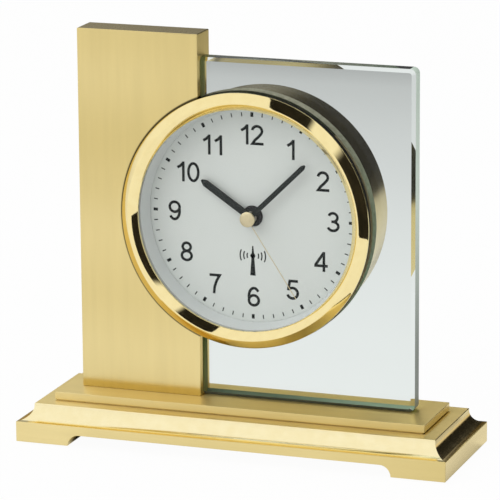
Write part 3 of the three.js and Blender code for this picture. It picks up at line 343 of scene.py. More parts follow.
# %% [markdown]
# ### Satin brass
# The stand is brass that a fine belt has brushed in one direction before it was lacquered: upright on the
# pillar, lengthwise on the base and round the axis on the drum. A brushed surface smears reflections
# across its grain and keeps them sharp along it. The shader's anisotropy does that, with the tangent
# across the grain, and stretched noises add slow clouds, streaks and single strokes. A warm edge tint keeps
# the lacquered stand golden where it is seen at a low angle. The ends and the bare drum turn paler there.

# %% Brushed brass
BRASS_DARK = (0.784, 0.627, 0.262)
BRASS_LIGHT = (0.935, 0.772, 0.372)
WARM_EDGE = (0.85, 0.68, 0.36)
LEVEL_EDGE = (0.93, 0.79, 0.50)
END_EDGE = (0.93, 0.92, 0.88)
PALE_EDGE = (1.0, 1.0, 1.0)
CLOUDS = (16, 5)
STREAKS = (16, 210)
STROKES = (40, 7000)
STREAK_LEVEL = 0.96
STROKE_DEPTH = 0.0008 * MM
STROKE_SPREAD = 0.03
CLOUD_DETAIL = 1.0
CLOUD_SHIFT = 7.3


def brushed_brass(name, along, tangent_axis, roughness, anisotropy, rotation=0.0, edge_tint=WARM_EDGE):
    """Satin brass with strokes along one axis and reflections smeared round the tangent axis or across it."""
    material, tree, shader = new_finish(name)
    clouds, streaks, strokes = (
        [lengthwise if axis == along else across for axis in "XYZ"]
        for lengthwise, across in (CLOUDS, STREAKS, STROKES)
    )
    slow = grain(tree, clouds, CLOUD_DETAIL, CLOUD_SHIFT)
    tinted(tree, slow, BRASS_DARK, BRASS_LIGHT, shader.inputs["Base Color"])
    scale_colour(material, grain(tree, streaks), *GRAIN_MIDDLE, STREAK_LEVEL)
    strokes = grain(tree, strokes)
    gloss = roughness - STROKE_SPREAD, roughness + STROKE_SPREAD
    ranged(tree, strokes, *gloss, shader.inputs["Roughness"])
    relief(tree, strokes, STROKE_DEPTH, shader)
    shader.inputs["Metallic"].default_value = 1
    shader.inputs["Anisotropic"].default_value = anisotropy
    shader.inputs["Anisotropic Rotation"].default_value = rotation
    shader.inputs["Specular Tint"].default_value = (*edge_tint, 1)
    tangent = tree.nodes.new("ShaderNodeTangent")
    tangent.direction_type = "RADIAL"
    tangent.axis = tangent_axis
    tree.links.new(tangent.outputs["Tangent"], shader.inputs["Tangent"])
    return material


brass_upright = brushed_brass("brass_brushed_upright", "Z", "Z", 0.33, 1.0)
brass_lengthwise = brushed_brass("brass_brushed_lengthwise", "X", "X", 0.33, 1.0, edge_tint=LEVEL_EDGE)
brass_crosswise = brushed_brass("brass_brushed_crosswise", "Y", "Y", 0.26, 0.8, edge_tint=END_EDGE)
brass_drum = brushed_brass("brass_turned_satin", "X", "Y", 0.17, 0.3, 0.25, PALE_EDGE)
print("brushed brass made four times, one for each direction of the brush")

# %% [markdown]
# A thin dark line of painted shade runs over the pillar's face right beside the clock's bezel, where the
# bezel shades the pillar. A distance from the clock's axis scales the colour, so the line needs no face of
# its own.

# %% The painted shade beside the bezel
BEZEL_SHADE_DARK = 0.1
BEZEL_SHADE_REACH = 0.6 * MM
BEZEL_SHADE_SOFTNESS = 0.6 * MM


def distance_from_axis(tree):
    """How far a spot lies from the clock's axis."""
    reach = tree.nodes.new("ShaderNodeVectorMath")
    reach.operation = "MULTIPLY_ADD"
    reach.inputs[1].default_value = (1, 0, 1)
    reach.inputs[2].default_value = -CLOCK_AXIS
    tree.links.new(object_place(tree), reach.inputs[0])
    length = tree.nodes.new("ShaderNodeVectorMath")
    length.operation = "LENGTH"
    tree.links.new(reach.outputs["Vector"], length.inputs[0])
    return length.outputs["Value"]


bezel_radius = half_width(bezel_low, bezel_high)
bezel_shade_start = bezel_radius + BEZEL_SHADE_REACH
axis_distance = distance_from_axis(brass_upright.node_tree)
# painted shade: the pillar's colour darkens in a thin ring just outside the bezel
scale_colour(brass_upright, axis_distance, bezel_shade_start, bezel_shade_start + BEZEL_SHADE_SOFTNESS, BEZEL_SHADE_DARK)
print("dark line beside a radius of", round(bezel_radius / MM, 2), "mm")

# %% [markdown]
# ### Polished brass
# The bezel is polished to a mirror, and the cove of the base is buffed nearly as bright. Their colour comes
# almost wholly from what they reflect, so the shader is a smooth metal. A cloudy noise leaves the slight haze
# that a lacquer has. At a low angle a metal takes its edge tint, which is golden on the long coves. On the
# short ones at the ends the edge tint is brown, a painted shade that darkens their reflections to a deep
# brown.

# %% Polished brass
POLISHED = ((0.90, 0.75, 0.375), (0.93, 0.79, 0.41), 0.03, 0.06)
BUFFED = ((0.94, 0.82, 0.48), (0.97, 0.86, 0.53), 0.13, 0.18)
GOLD_EDGE = (0.96, 0.90, 0.72)
SHADED_END_EDGE = (0.75, 0.45, 0.12)
HAZE = 260


def shiny_brass(name, dark, light, smooth, hazy, edge_tint=PALE_EDGE):
    """Brass that reflects like a mirror, with a roughness that wanders between two values."""
    material, tree, shader = new_finish(name)
    haze = grain(tree, HAZE)
    tinted(tree, haze, dark, light, shader.inputs["Base Color"])
    ranged(tree, haze, smooth, hazy, shader.inputs["Roughness"])
    shader.inputs["Metallic"].default_value = 1
    shader.inputs["Specular Tint"].default_value = (*edge_tint, 1)
    return material


brass_polished = shiny_brass("brass_polished", *POLISHED)
brass_buffed = shiny_brass("brass_buffed", *BUFFED, GOLD_EDGE)
# painted shade: the end coves take a brown edge tint so that their reflections turn dark brown
brass_buffed_shaded_end = shiny_brass("brass_buffed_shaded_end", *BUFFED, SHADED_END_EDGE)
print("polished brass for the bezel, buffed brass for the cove")

# %% [markdown]
# ### Glass
# The pane is 8 mm float glass. Looked through, it is almost clear, and at its edges, where light travels
# a long way inside, it is green. A slightly tinted surface can't do both, so the green is an absorption in
# the volume. Hardly any mirror image shows on the pane, so its mirror share is lowered. The flat clock glass
# is thin and stays clear.

# %% Pane and clock glass
GLASS_IOR = 1.52
PANE_GREEN = (0.14, 0.79, 0.5)
PANE_DENSITY = 7
PANE_MIRROR = 0.3
PANE_TONES = ((0.97, 0.985, 0.98), (0.98, 0.995, 0.99))
CRYSTAL_IOR = 1.18
CRYSTAL_TONES = ((0.985, 0.99, 0.99), (1.0, 1.0, 1.0))
POLISH_CLOUD = 40
POLISH_ROUGHNESS = 0.006


def clear_glass(name, dull, bright, ior, mirror=1.0):
    """Clear polished glass with a trace of unevenness in its polish and a share of its mirror image."""
    material, tree, shader = new_finish(name)
    cloud = grain(tree, POLISH_CLOUD)
    tinted(tree, cloud, dull, bright, shader.inputs["Base Color"])
    ranged(tree, cloud, 0.0, POLISH_ROUGHNESS, shader.inputs["Roughness"])
    shader.inputs["Transmission Weight"].default_value = 1
    shader.inputs["IOR"].default_value = ior
    shader.inputs["Specular Tint"].default_value = (mirror, mirror, mirror, 1)
    return material


pane_glass = clear_glass("glass_pane_clear", *PANE_TONES, GLASS_IOR, PANE_MIRROR)
tree = pane_glass.node_tree
absorption = tree.nodes.new("ShaderNodeVolumeAbsorption")
absorption.inputs["Color"].default_value = (*PANE_GREEN, 1)
absorption.inputs["Density"].default_value = PANE_DENSITY
tree.links.new(absorption.outputs["Volume"], tree.nodes["Material Output"].inputs["Volume"])
crystal_glass = clear_glass("glass_clock", *CRYSTAL_TONES, CRYSTAL_IOR)
print("pane absorbs with a density of", PANE_DENSITY)

# %% [markdown]
# ### Paints, plastics and the rest
# What is left is matt or dull: the dial's lacquer, the black hands and print, the moulded back, and the
# parts of the movement that show only when the case is opened. One recipe serves them all: a noise of the
# right size for the material moves its colour, its gloss and its relief.

# %% One recipe for the dull finishes
DULL_DETAIL = 5.0
DULL_SPREAD = 0.06


def dull_finish(name, dark, light, roughness, scale, depth, metallic=0.0, gloss=0.5):
    """A finish whose colour, gloss and relief follow one noise."""
    material, tree, shader = new_finish(name)
    texture = grain(tree, scale, DULL_DETAIL)
    tinted(tree, texture, dark, light, shader.inputs["Base Color"])
    ranged(tree, texture, roughness - DULL_SPREAD, roughness + DULL_SPREAD, shader.inputs["Roughness"])
    relief(tree, texture, depth, shader)
    shader.inputs["Metallic"].default_value = metallic
    shader.inputs["Specular IOR Level"].default_value = gloss
    return material


# %% Dial, print and hands
dial_lacquer = dull_finish(
    "lacquer_dial", (0.655, 0.695, 0.665), (0.68, 0.72, 0.69), 0.55, 2600, 0.002 * MM)
rehaut_lacquer = dull_finish(
    "lacquer_rehaut", (0.62, 0.655, 0.645), (0.65, 0.685, 0.675), 0.5, 2600, 0.002 * MM)
hand_lacquer = dull_finish(
    "lacquer_black", (0.014, 0.018, 0.017), (0.024, 0.029, 0.027), 0.5, 900, 0.002 * MM, gloss=0.15)
dial_ink = dull_finish(
    "ink_black", (0.012, 0.015, 0.014), (0.018, 0.022, 0.021), 0.7, 1800, 0.001 * MM, gloss=0.1)
cap_gilt = dull_finish(
    "gilt_satin", (0.58, 0.50, 0.31), (0.65, 0.57, 0.375), 0.42, 700, 0.003 * MM, metallic=1.0)
print("dial and hands:", dial_lacquer.name, dial_ink.name, hand_lacquer.name, cap_gilt.name)

# %% Edges of the pane
edge_ground = dull_finish(
    "glass_edge_ground", (0.60, 0.73, 0.62), (0.72, 0.84, 0.73), 0.4, (260, 260, 40), 0.004 * MM)
bay_ground = dull_finish(
    "glass_bay_ground", (0.36, 0.34, 0.245), (0.50, 0.475, 0.36), 0.5, 600, 0.004 * MM)
edge_bonded = dull_finish(
    "glass_edge_bonded", (0.24, 0.24, 0.085), (0.38, 0.37, 0.145), 0.5, (300, 300, 60), 0.004 * MM, gloss=0.0)
foot_bonded = dull_finish(
    "glass_foot_bonded", (0.36, 0.50, 0.36), (0.44, 0.60, 0.44), 0.45, (60, 300, 300), 0.004 * MM)
# painted shade: the ground chamfer along the pane's front foot is painted nearly black, as it lies in shade
foot_chamfer_shade = dull_finish(
    "glass_foot_chamfer_shade", (0.075, 0.094, 0.083), (0.115, 0.138, 0.125), 0.4, (60, 300, 300), 0.004 * MM)
print("edges of the pane:", edge_ground.name, edge_bonded.name, foot_bonded.name)

# %% Back, movement, pads and cell
soft_rubber = dull_finish(
    "rubber_black", (0.010, 0.010, 0.010), (0.022, 0.022, 0.022), 0.8, 1500, 0.01 * MM)
moulded_black = dull_finish(
    "plastic_moulded_black", (0.014, 0.015, 0.016), (0.030, 0.031, 0.033), 0.5, 2400, 0.03 * MM)
acetal = dull_finish(
    "plastic_acetal", (0.60, 0.56, 0.48), (0.70, 0.66, 0.58), 0.45, 700, 0.008 * MM)
zinc_plate = dull_finish(
    "steel_zinc_plated", (0.46, 0.47, 0.50), (0.62, 0.63, 0.66), 0.3, 500, 0.004 * MM, 1.0)
board_green = dull_finish(
    "board_solder_mask", (0.02, 0.10, 0.045), (0.04, 0.17, 0.08), 0.4, 420, 0.02 * MM)
winding = dull_finish(
    "copper_winding", (0.32, 0.11, 0.035), (0.60, 0.26, 0.11), 0.35, 3200, 0.06 * MM, 1.0)
ferrite = dull_finish(
    "ferrite_sintered", (0.028, 0.028, 0.031), (0.05, 0.05, 0.055), 0.75, 1400, 0.02 * MM)
pad_felt = dull_finish(
    "felt_pressed", (0.025, 0.034, 0.024), (0.07, 0.085, 0.06), 0.93, (2200, 2200, 600), 0.12 * MM)
cell_sleeve = dull_finish(
    "battery_sleeve", (0.20, 0.21, 0.23), (0.27, 0.28, 0.30), 0.35, (60, 900, 900), 0.004 * MM)
print("finishes made:", len(bpy.data.materials))

# %% [markdown]
# The pane's ground free edge carries painted light: it is painted pale at the top, where light from above
# falls on it, and deeper in tone near the foot, so the height of a spot scales its colour. The bonded foot,
# seen
# through the glass, changes lengthwise: it is deep beside the pillar and paler towards the free corner.

# %% The free edge from foot to top, and the foot from the pillar to the corner
EDGE_SHADE_BELOW = 35 * MM
EDGE_LIT_ABOVE = 112 * MM
EDGE_PAINTED_SHADE = 0.28
FOOT_DEEP_UP_TO = 5 * MM
FOOT_PALE_FROM = 66 * MM
FOOT_DEEP = 0.58

edge_height = object_axes(edge_ground.node_tree)["Z"]
# painted light: the free edge is painted paler higher up and shaded towards the foot
scale_colour(edge_ground, edge_height, EDGE_SHADE_BELOW, EDGE_LIT_ABOVE, EDGE_PAINTED_SHADE)
foot_length = object_axes(foot_bonded.node_tree)["X"]
scale_colour(foot_bonded, foot_length, FOOT_DEEP_UP_TO, FOOT_PALE_FROM, FOOT_DEEP)
print("free edge at", EDGE_PAINTED_SHADE, "of its tone near the foot, foot at", FOOT_DEEP, "beside the pillar")

# %% [markdown]
# ### Dress the nodes that keep their CAD form
# The record names a slot for every node. Nodes whose form is already right, such as the wheels and shells
# of the movement, take the finish of their slot. The pieces made below take the place of the others.

# %% Give every CAD node the finish of its slot
finish_of_slot = {
    "satin_brass": brass_lengthwise, "polished_brass": brass_polished, "clear_glass": crystal_glass,
    "white_paint": dial_lacquer, "black_paint": hand_lacquer, "black_rubber": soft_rubber,
    "black_plastic": moulded_black, "white_plastic": acetal, "zinc_steel": zinc_plate,
    "green_board": board_green, "copper_wire": winding, "dark_ferrite": ferrite,
    "foot_felt": pad_felt, "battery_sleeve": cell_sleeve,
}
for subpart in frame["record"]["subparts"]:
    node_mesh = frame["nodes"][subpart["node"]].data
    node_mesh.materials.clear()
    node_mesh.materials.append(finish_of_slot[subpart["material_slot"]])

# %% [markdown]
# ## The base
# The base is one heavy brass moulding: a plinth on two feet with a low arch between them, and a cove that
# sweeps up from the plinth's edge to a small upright fillet. It is modelled as it would be planed. The front
# outline with its arch is extruded through the depth, and then the top face is inset and raised in small
# steps along a quarter circle. The inset keeps the corners mitred. The cove is buffed brighter than the flat
# faces, and the two ends are brushed across, so they wear finishes of their own.

# %% Plinth and arch
FOOT_WIDTH = 22.3 * MM
ARCH_HEIGHT = 4.6 * MM
ARCH_STEPS = 10
PLINTH_HEIGHT = 8.3 * MM
PLINTH_EDGE = 0.3 * MM

bm = bmesh.new()
front = base_low.y
plinth_top = base_low.z + PLINTH_HEIGHT
arch_end = base_high.x - FOOT_WIDTH
arch_centre = arch_end - ARCH_HEIGHT
left_arc = arc(
    bm, (-arch_end, front, base_low.z), (-arch_centre, front, base_low.z), QUARTER, ARCH_STEPS)
right_arc = arc(
    bm, (arch_centre, front, base_low.z + ARCH_HEIGHT), (arch_centre, front, base_low.z), QUARTER, ARCH_STEPS)
ends = [
    (base_high.x, base_low.z), (base_high.x, plinth_top),
    (base_low.x, plinth_top), (base_low.x, base_low.z),
]
corners = [bm.verts.new((x, front, z)) for x, z in ends]
extruded_plate(bm, left_arc + right_arc + corners, base_high.y - base_low.y)
break_edges(bm, PLINTH_EDGE)
print("plinth up to", round(plinth_top / MM, 2), "mm")

# %% Cove and fillet
COVE_RADIUS = 5.9 * MM
COVE_STEPS = 14
FILLET_EDGE = 0.2 * MM
END_FACING = 0.97

top = max(bm.faces, key=lambda face: face.calc_center_median().z)
reached = PLINTH_EDGE
for step in range(1, COVE_STEPS + 1):
    angle = QUARTER * step / COVE_STEPS
    inward = COVE_RADIUS * math.sin(angle)
    height = plinth_top + COVE_RADIUS * (1 - math.cos(angle))
    bmesh.ops.inset_region(bm, faces=[top], thickness=inward - reached, use_even_offset=True)
    bmesh.ops.translate(bm, verts=top.verts, vec=(0, 0, height - top.verts[0].co.z))
    reached = inward
crown = drawn_out(bm, [top], (0, 0, base_high.z - plinth_top - COVE_RADIUS))[0]
bevel(bm, crown.edges[:], FILLET_EDGE, 2)


def on_the_cove(face):
    """True for a face between the plinth's top and the top of the moulding."""
    return plinth_top < face.calc_center_median().z < base_high.z - WELD


def on_an_end_cove(face):
    """True for a face of the cove at the left or the right end."""
    return on_the_cove(face) and abs(face.normal.x) > abs(face.normal.y)


base_finishes = [brass_lengthwise, brass_crosswise, brass_buffed, brass_buffed_shaded_end]
wear(bm, base_finishes, brass_buffed, on_the_cove)
wear(bm, base_finishes, brass_buffed_shaded_end, on_an_end_cove)
wear(bm, base_finishes, brass_crosswise, lambda face: abs(face.normal.x) > END_FACING)
finished_piece(bm, "cove_base", base_finishes, "clock_body", "satin_brass", "base_moulding")

# %% [markdown]
# ## The top plate
# A square-edged brass plate lies on the moulding and carries the pillar and the glass. The joint under it
# shows as a thin dark line, so the plate stands on a shallow foot: its underside is inset and drawn down.

# %% Top plate
PLATE_EDGE = 0.25 * MM
JOINT_HEIGHT = 0.45 * MM
JOINT_DEPTH = 1.0 * MM


def block(low, high):
    """A block between two corners."""
    bm = bmesh.new()
    bmesh.ops.create_cube(bm, size=1)
    bmesh.ops.scale(bm, verts=bm.verts[:], vec=high - low)
    bmesh.ops.translate(bm, verts=bm.verts[:], vec=(low + high) / 2)
    return bm


def filed_block(low, high, edge):
    """A block between two corners, with its edges broken."""
    bm = block(low, high)
    break_edges(bm, edge)
    return bm


bm = filed_block(plate_low + Vector((0, 0, JOINT_HEIGHT)), plate_high, PLATE_EDGE)
underside = min(bm.faces, key=lambda face: face.calc_center_median().z)
bmesh.ops.inset_region(bm, faces=[underside], thickness=JOINT_DEPTH - PLATE_EDGE, use_even_offset=True)
drawn_out(bm, [underside], (0, 0, -JOINT_HEIGHT))
plate_finishes = [brass_lengthwise, brass_crosswise]
wear(bm, plate_finishes, brass_crosswise, lambda face: abs(face.normal.x) > FACING)
finished_piece(bm, "stand_plate", plate_finishes, "clock_body", "satin_brass", "base_top_plate")

# %% [markdown]
# ## The pillar
# The pillar is a flat bar, brushed upright, with a round bay in its right edge for the clock. Instead of a
# Boolean cut with a cylinder, the bay's arc is part of the outline, and the whole outline is extruded once.

# %% Pillar with its bay
PILLAR_EDGE = 0.35 * MM
BAY_STEPS_PER_TURN = 144


def bay_meeting(x):
    """The angle from the upright at which the bay's circle crosses an upright line left of the axis."""
    return math.asin(-x / BAY_RADIUS)


def bay_arc(bm, y, clock_angle, sweep):
    """An arc of the bay's circle, from a clock angle and clockwise through a sweep."""
    centre = CLOCK_AXIS + Vector((0, y, 0))
    start = centre + clockwise(clock_angle) * BAY_RADIUS
    return arc(bm, start, centre, sweep, round(BAY_STEPS_PER_TURN * sweep / math.tau))


bm = bmesh.new()
front = pillar_low.y
meeting = bay_meeting(pillar_high.x)
bay = bay_arc(bm, front, math.pi + meeting, math.pi - 2 * meeting)
ends = [
    (pillar_high.x, pillar_high.z), (pillar_low.x, pillar_high.z),
    (pillar_low.x, pillar_low.z), (pillar_high.x, pillar_low.z),
]
corners = [bm.verts.new((x, front, z)) for x, z in ends]
extruded_plate(bm, bay + corners, pillar_high.y - pillar_low.y)
break_edges(bm, PILLAR_EDGE)


def on_the_top(face):
    """True for a face on top of the pillar, above the bay."""
    return face.normal.z > FACING and face.calc_center_median().z > CLOCK_AXIS.z + BAY_RADIUS


pillar_finishes = [brass_upright, brass_crosswise]
wear(bm, pillar_finishes, brass_crosswise, on_the_top)
finished_piece(bm, "brass_pillar", pillar_finishes, "clock_body", "satin_brass", "pillar")

# %% [markdown]
# ## The glass pane
# The pane is cut to the same bay, bonded to the pillar's edge and to the plate, its free corners are rounded
# and its edges are ground to a flat 45 degree chamfer, except along the pillar. A bevel with one segment on
# the front and back outlines makes that chamfer.
# The free edge is ground and catches the light, the edge bonded to the pillar looks dark through the glass,
# the bonded foot looks slate green above its chamfer, which is painted dark as shade, and the wall of the bay
# is left as the core drill cut it, so each of these has a finish of its own.
# Light that the shader bends can't reach the dial by a straight line, so the pane casts no shadow and
# doesn't show to diffuse rays.

# %% Pane with its bay
PANE_CHAMFER = 1.35 * MM
PANE_CORNER = 2.4 * MM
CORNER_STEPS = 8

bm = bmesh.new()
front = glass_low.y
meeting = bay_meeting(glass_low.x)
bay = bay_arc(bm, front, -meeting, math.pi + 2 * meeting)
lower = Vector((glass_high.x - PANE_CORNER, front, glass_low.z + PANE_CORNER))
upper = Vector((glass_high.x - PANE_CORNER, front, glass_high.z - PANE_CORNER))
lower_left = bm.verts.new((glass_low.x, front, glass_low.z))
lower_right = arc(bm, lower - Vector((0, 0, PANE_CORNER)), lower, -QUARTER, CORNER_STEPS)
upper_right = arc(bm, upper + Vector((PANE_CORNER, 0, 0)), upper, -QUARTER, CORNER_STEPS)
upper_left = bm.verts.new((glass_low.x, front, glass_high.z))
outline = [*bay, lower_left, *lower_right, *upper_right, upper_left]
extruded_plate(bm, outline, glass_high.y - glass_low.y)
outlines = [edge for face in bm.faces if len(face.verts) > 4 for edge in face.edges]
ground = [edge for edge in outlines if max(end.co.x for end in edge.verts) > glass_low.x + SEAT_GAP]
bevel(bm, ground, PANE_CHAMFER, 1)
print("points on the pane's outline:", len(outline))

# %% Finishes of the pane
EDGE_ON = 0.1


def on_bay_wall(face):
    """True for a face of the round wall of the bay and of its two chamfers."""
    spot = face.calc_center_median() - CLOCK_AXIS
    return abs(face.normal.y) < FACING and math.hypot(spot.x, spot.z) < BAY_RADIUS + PANE_CHAMFER


def on_free_edge(face):
    """True for a face of the upright free edge and of its two round corners."""
    return abs(face.normal.y) < EDGE_ON and face.calc_center_median().x > glass_high.x - PANE_CORNER


def let_light_through(piece):
    """Keep clear glass from shading what lies behind it."""
    piece.visible_shadow = False
    piece.visible_diffuse = False


pane_finishes = [pane_glass, edge_ground, edge_bonded, foot_bonded, bay_ground, foot_chamfer_shade]
wear(bm, pane_finishes, edge_ground, on_free_edge)
wear(bm, pane_finishes, edge_bonded, lambda face: face.normal.x < -FACING)
wear(bm, pane_finishes, foot_bonded, lambda face: face.normal.z < -SLANTED)
wear(bm, pane_finishes, bay_ground, on_bay_wall)
# the front foot chamfer wears the painted shade
wear(bm, pane_finishes, foot_chamfer_shade, lambda face: face.normal.z < -SLANTED and face.normal.y < -SLANTED)
pane = finished_piece(bm, "bay_pane", pane_finishes, "clock_body", "clear_glass", "glass_pane")
let_light_through(pane)

# %% [markdown]
# ## The insert's case
# The drum, its rubber grip band and the gasket of the clock glass are turned parts. Each is a short list
# of points, as radius and depth, spun once round the clock's axis.

# %% Drum, grip band and gasket
DRUM_WALL = 0.7 * MM
DRUM_LIP = 6 * MM
DRUM_EDGE = 0.25 * MM
RUBBER_EDGE = 0.15 * MM
GASKET_WALL = 0.6 * MM

drum_radius = half_width(drum_low, drum_high)
drum_inner = drum_radius - DRUM_WALL
drum_lip = drum_inner - DRUM_LIP
bm = turned([
    (drum_inner, drum_low.y), (drum_radius, drum_low.y),
    (drum_radius, drum_high.y - DRUM_WALL), (drum_inner, drum_high.y),
    (drum_lip, drum_high.y), (drum_lip, drum_high.y - DRUM_WALL),
    (drum_inner, drum_high.y - DRUM_WALL),
])
break_edges(bm, DRUM_EDGE)
finished_piece(bm, "clock_drum", brass_drum, "clock_body", "satin_brass", "case_drum")


def turned_band(node, wall):
    """A plain ring that fills the box of a node, with a wall of its own."""
    low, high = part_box(node)
    outer = half_width(low, high)
    bm = turned([(outer - wall, low.y), (outer, low.y), (outer, high.y), (outer - wall, high.y)])
    break_edges(bm, RUBBER_EDGE)
    return bm


grip_wall = half_width(grip_low, grip_high) - drum_radius - SEAT_GAP
bm = turned_band("grip_band", grip_wall)
finished_piece(bm, "grip_ring", soft_rubber, "clock_body", "black_rubber", "grip_band")
bm = turned_band("crystal_gasket", GASKET_WALL)
finished_piece(bm, "gasket_ring", soft_rubber, "clock_body", "black_rubber", "crystal_gasket")

# %% [markdown]
# ## The bezel
# The bezel is the brightest piece: a ring with two slopes that meet at a crest, and a skirt behind that is
# pressed into the drum. The slopes are turned as cones with a slight bow. Straight lines in the profile would
# mirror a dark card as a block, so each slope is a shallow arc of points.

# %% Bezel
BEZEL_OUTER_SLOPE = 3.6 * MM
BEZEL_INNER_SLOPE = 3.25 * MM
BEZEL_RISE = 3.8 * MM
BEZEL_RIM = 0.9 * MM
BEZEL_LIP = 1.0 * MM
BEZEL_EDGE = 0.16 * MM
SKIRT_WALL = 0.8 * MM
OUTER_BOW = 0.05 * MM
INNER_BOW = 0.12 * MM
BOW_STEPS = 6


def bowed(first, last, bow):
    """Points of a profile along a shallow arc from the first point up to the last, which is left out."""
    first, last = Vector(first), Vector(last)
    along = last - first
    out = Vector((along.y, -along.x)).normalized() * bow
    shares = [step / BOW_STEPS for step in range(BOW_STEPS)]
    return [tuple(first + along * share + out * (4 * share * (1 - share))) for share in shares]


crest_radius = bezel_radius - BEZEL_OUTER_SLOPE
bezel_inner = crest_radius - BEZEL_INNER_SLOPE
flange_back = bezel_low.y + BEZEL_RISE
skirt_outer = drum_inner - SEAT_GAP
skirt_inner = skirt_outer - SKIRT_WALL
lip = (bezel_inner, flange_back - BEZEL_LIP)
crest = (crest_radius, bezel_low.y)
rim = (bezel_radius, flange_back - BEZEL_RIM)
bm = turned([
    (bezel_inner, flange_back), *bowed(lip, crest, INNER_BOW), *bowed(crest, rim, OUTER_BOW), rim,
    (bezel_radius, flange_back), (skirt_outer, flange_back),
    (skirt_outer, bezel_high.y), (skirt_inner, bezel_high.y), (skirt_inner, flange_back),
])
break_edges(bm, BEZEL_EDGE, segments=3)
finished_piece(bm, "bezel_ring", brass_polished, "clock_body", "polished_brass", "bezel")

# %% [markdown]
# ## Clock glass, rehaut and dial
# A flat glass closes the front. Behind it a pale sloping ring, the rehaut, leads down to the dial, which
# is a lacquered disc with a hole for the centre bush.

# %% Clock glass
CRYSTAL_EDGE = 0.3 * MM

crystal_low, crystal_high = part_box("crystal")
crystal_radius = half_width(crystal_low, crystal_high)
bm = turned([
    (0, crystal_low.y), (crystal_radius, crystal_low.y),
    (crystal_radius, crystal_high.y), (0, crystal_high.y),
])
break_edges(bm, CRYSTAL_EDGE, segments=1)
crystal = finished_piece(bm, "clock_crystal", crystal_glass, "clock_body", "clear_glass", "crystal")
let_light_through(crystal)

# %% Rehaut and dial
REHAUT_TAPER = 1.5 * MM
REHAUT_EDGE = 0.12 * MM
DIAL_HOLE = 4.25 * MM

rehaut_low, rehaut_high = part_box("rehaut_ring")
dial_radius = half_width(dial_low, dial_high)
bm = turned([
    (bezel_inner, rehaut_low.y), (dial_radius, rehaut_low.y),
    (dial_radius, rehaut_high.y), (bezel_inner - REHAUT_TAPER, rehaut_high.y),
])
break_edges(bm, REHAUT_EDGE)
finished_piece(bm, "sloped_rehaut", rehaut_lacquer, "clock_body", "white_paint", "rehaut_ring")
bm = turned([
    (DIAL_HOLE, dial_low.y), (dial_radius, dial_low.y),
    (dial_radius, dial_high.y), (DIAL_HOLE, dial_high.y),
])
break_edges(bm, REHAUT_EDGE)
finished_piece(bm, "dial_disc", dial_lacquer, "clock_body", "white_paint", "dial")

# %% [markdown]
# ## The printing
# Numerals, minute marks and a small radio sign are printed on the dial in black. Print has a thickness of
# a few hundredths of a millimetre, so it is made as real thin pieces that stand on the lacquer. The marks
# are blocks turned round the axis.

# %% Minute track
PRINT_HEIGHT = 0.03 * MM
TRACK_OUTER = 42.05 * MM
MINUTE_MARK = Vector((0.42, 0, 1.65)) * MM
HOUR_MARK = Vector((1.2, 0, 1.85)) * MM
HOURS = 12
MINUTES = 60

print_middle = dial_low.y - PRINT_HEIGHT / 2
bm = bmesh.new()
for minute in range(MINUTES):
    mark = HOUR_MARK if minute % (MINUTES // HOURS) == 0 else MINUTE_MARK
    turn = Matrix.Rotation(math.tau * minute / MINUTES, 4, "Y")
    place = Matrix.Translation((0, print_middle, TRACK_OUTER - mark.z / 2))
    size = Matrix.Diagonal((mark.x, PRINT_HEIGHT, mark.z, 1))
    bmesh.ops.create_cube(bm, size=1, matrix=Matrix.Translation(CLOCK_AXIS) @ turn @ place @ size)
finished_piece(bm, "dial_minute_track", dial_ink, "clock_body", "black_paint")

# %% [markdown]
# The numerals are plain upright figures with one stroke width. Text would be quicker, but it leaves the shape
# of a figure to a font. Each figure is therefore drawn as a sign writer does it: a flat pen follows straight
# runs and arcs. The two rails of the pen are bridged to a ribbon, and a flat triangulation joins the ribbons
# of a figure where they overlap. The numerals are then spaced one by one, so some stand up to about 1.5 mm
# off their ring.

# %% Draw with a flat pen
PEN_WIDTH = 0.138
PEN_TURN = 9
PEN_MERGE = 1e-5


def stroke_points(parts):
    """Points along a stroke; a part is a point, or an arc as centre, radii, first and last angle."""
    points = []
    for part in parts:
        if len(part) == 2:
            points.append(Vector(part))
            continue
        x, z, wide, tall, first, last = part
        steps = round(abs(last - first) / PEN_TURN)
        for step in range(steps + 1):
            angle = math.radians(first + (last - first) * step / steps)
            points.append(Vector((x + wide * math.cos(angle), z + tall * math.sin(angle))))
    return points


def draw_stroke(bm, parts):
    """Lay a ribbon of the pen's width along a stroke in the XZ plane, mitred where it turns."""
    points = stroke_points(parts)
    closed = (points[0] - points[-1]).length < PEN_MERGE
    if closed:
        points.pop()
    legs = [(after - place).normalized() for place, after in zip(points, points[1:] + points[:1])]
    if not closed:
        legs[-1] = legs[-2]
    rails = ([], [])
    for index, (place, leaving) in enumerate(zip(points, legs)):
        arriving = legs[index - 1] if closed or index else leaving
        along = (arriving + leaving).normalized()
        reach = Vector((-along.y, along.x)) * (PEN_WIDTH / 2 / along.dot(leaving))
        rails[0].append(bm.verts.new((place.x + reach.x, 0, place.y + reach.y)))
        rails[1].append(bm.verts.new((place.x - reach.x, 0, place.y - reach.y)))
    edges = []
    for rail in rails:
        following = rail[1:] + rail[:1] if closed else rail[1:]
        edges += [bm.edges.new(pair) for pair in zip(rail, following)]
    bmesh.ops.bridge_loops(bm, edges=edges)


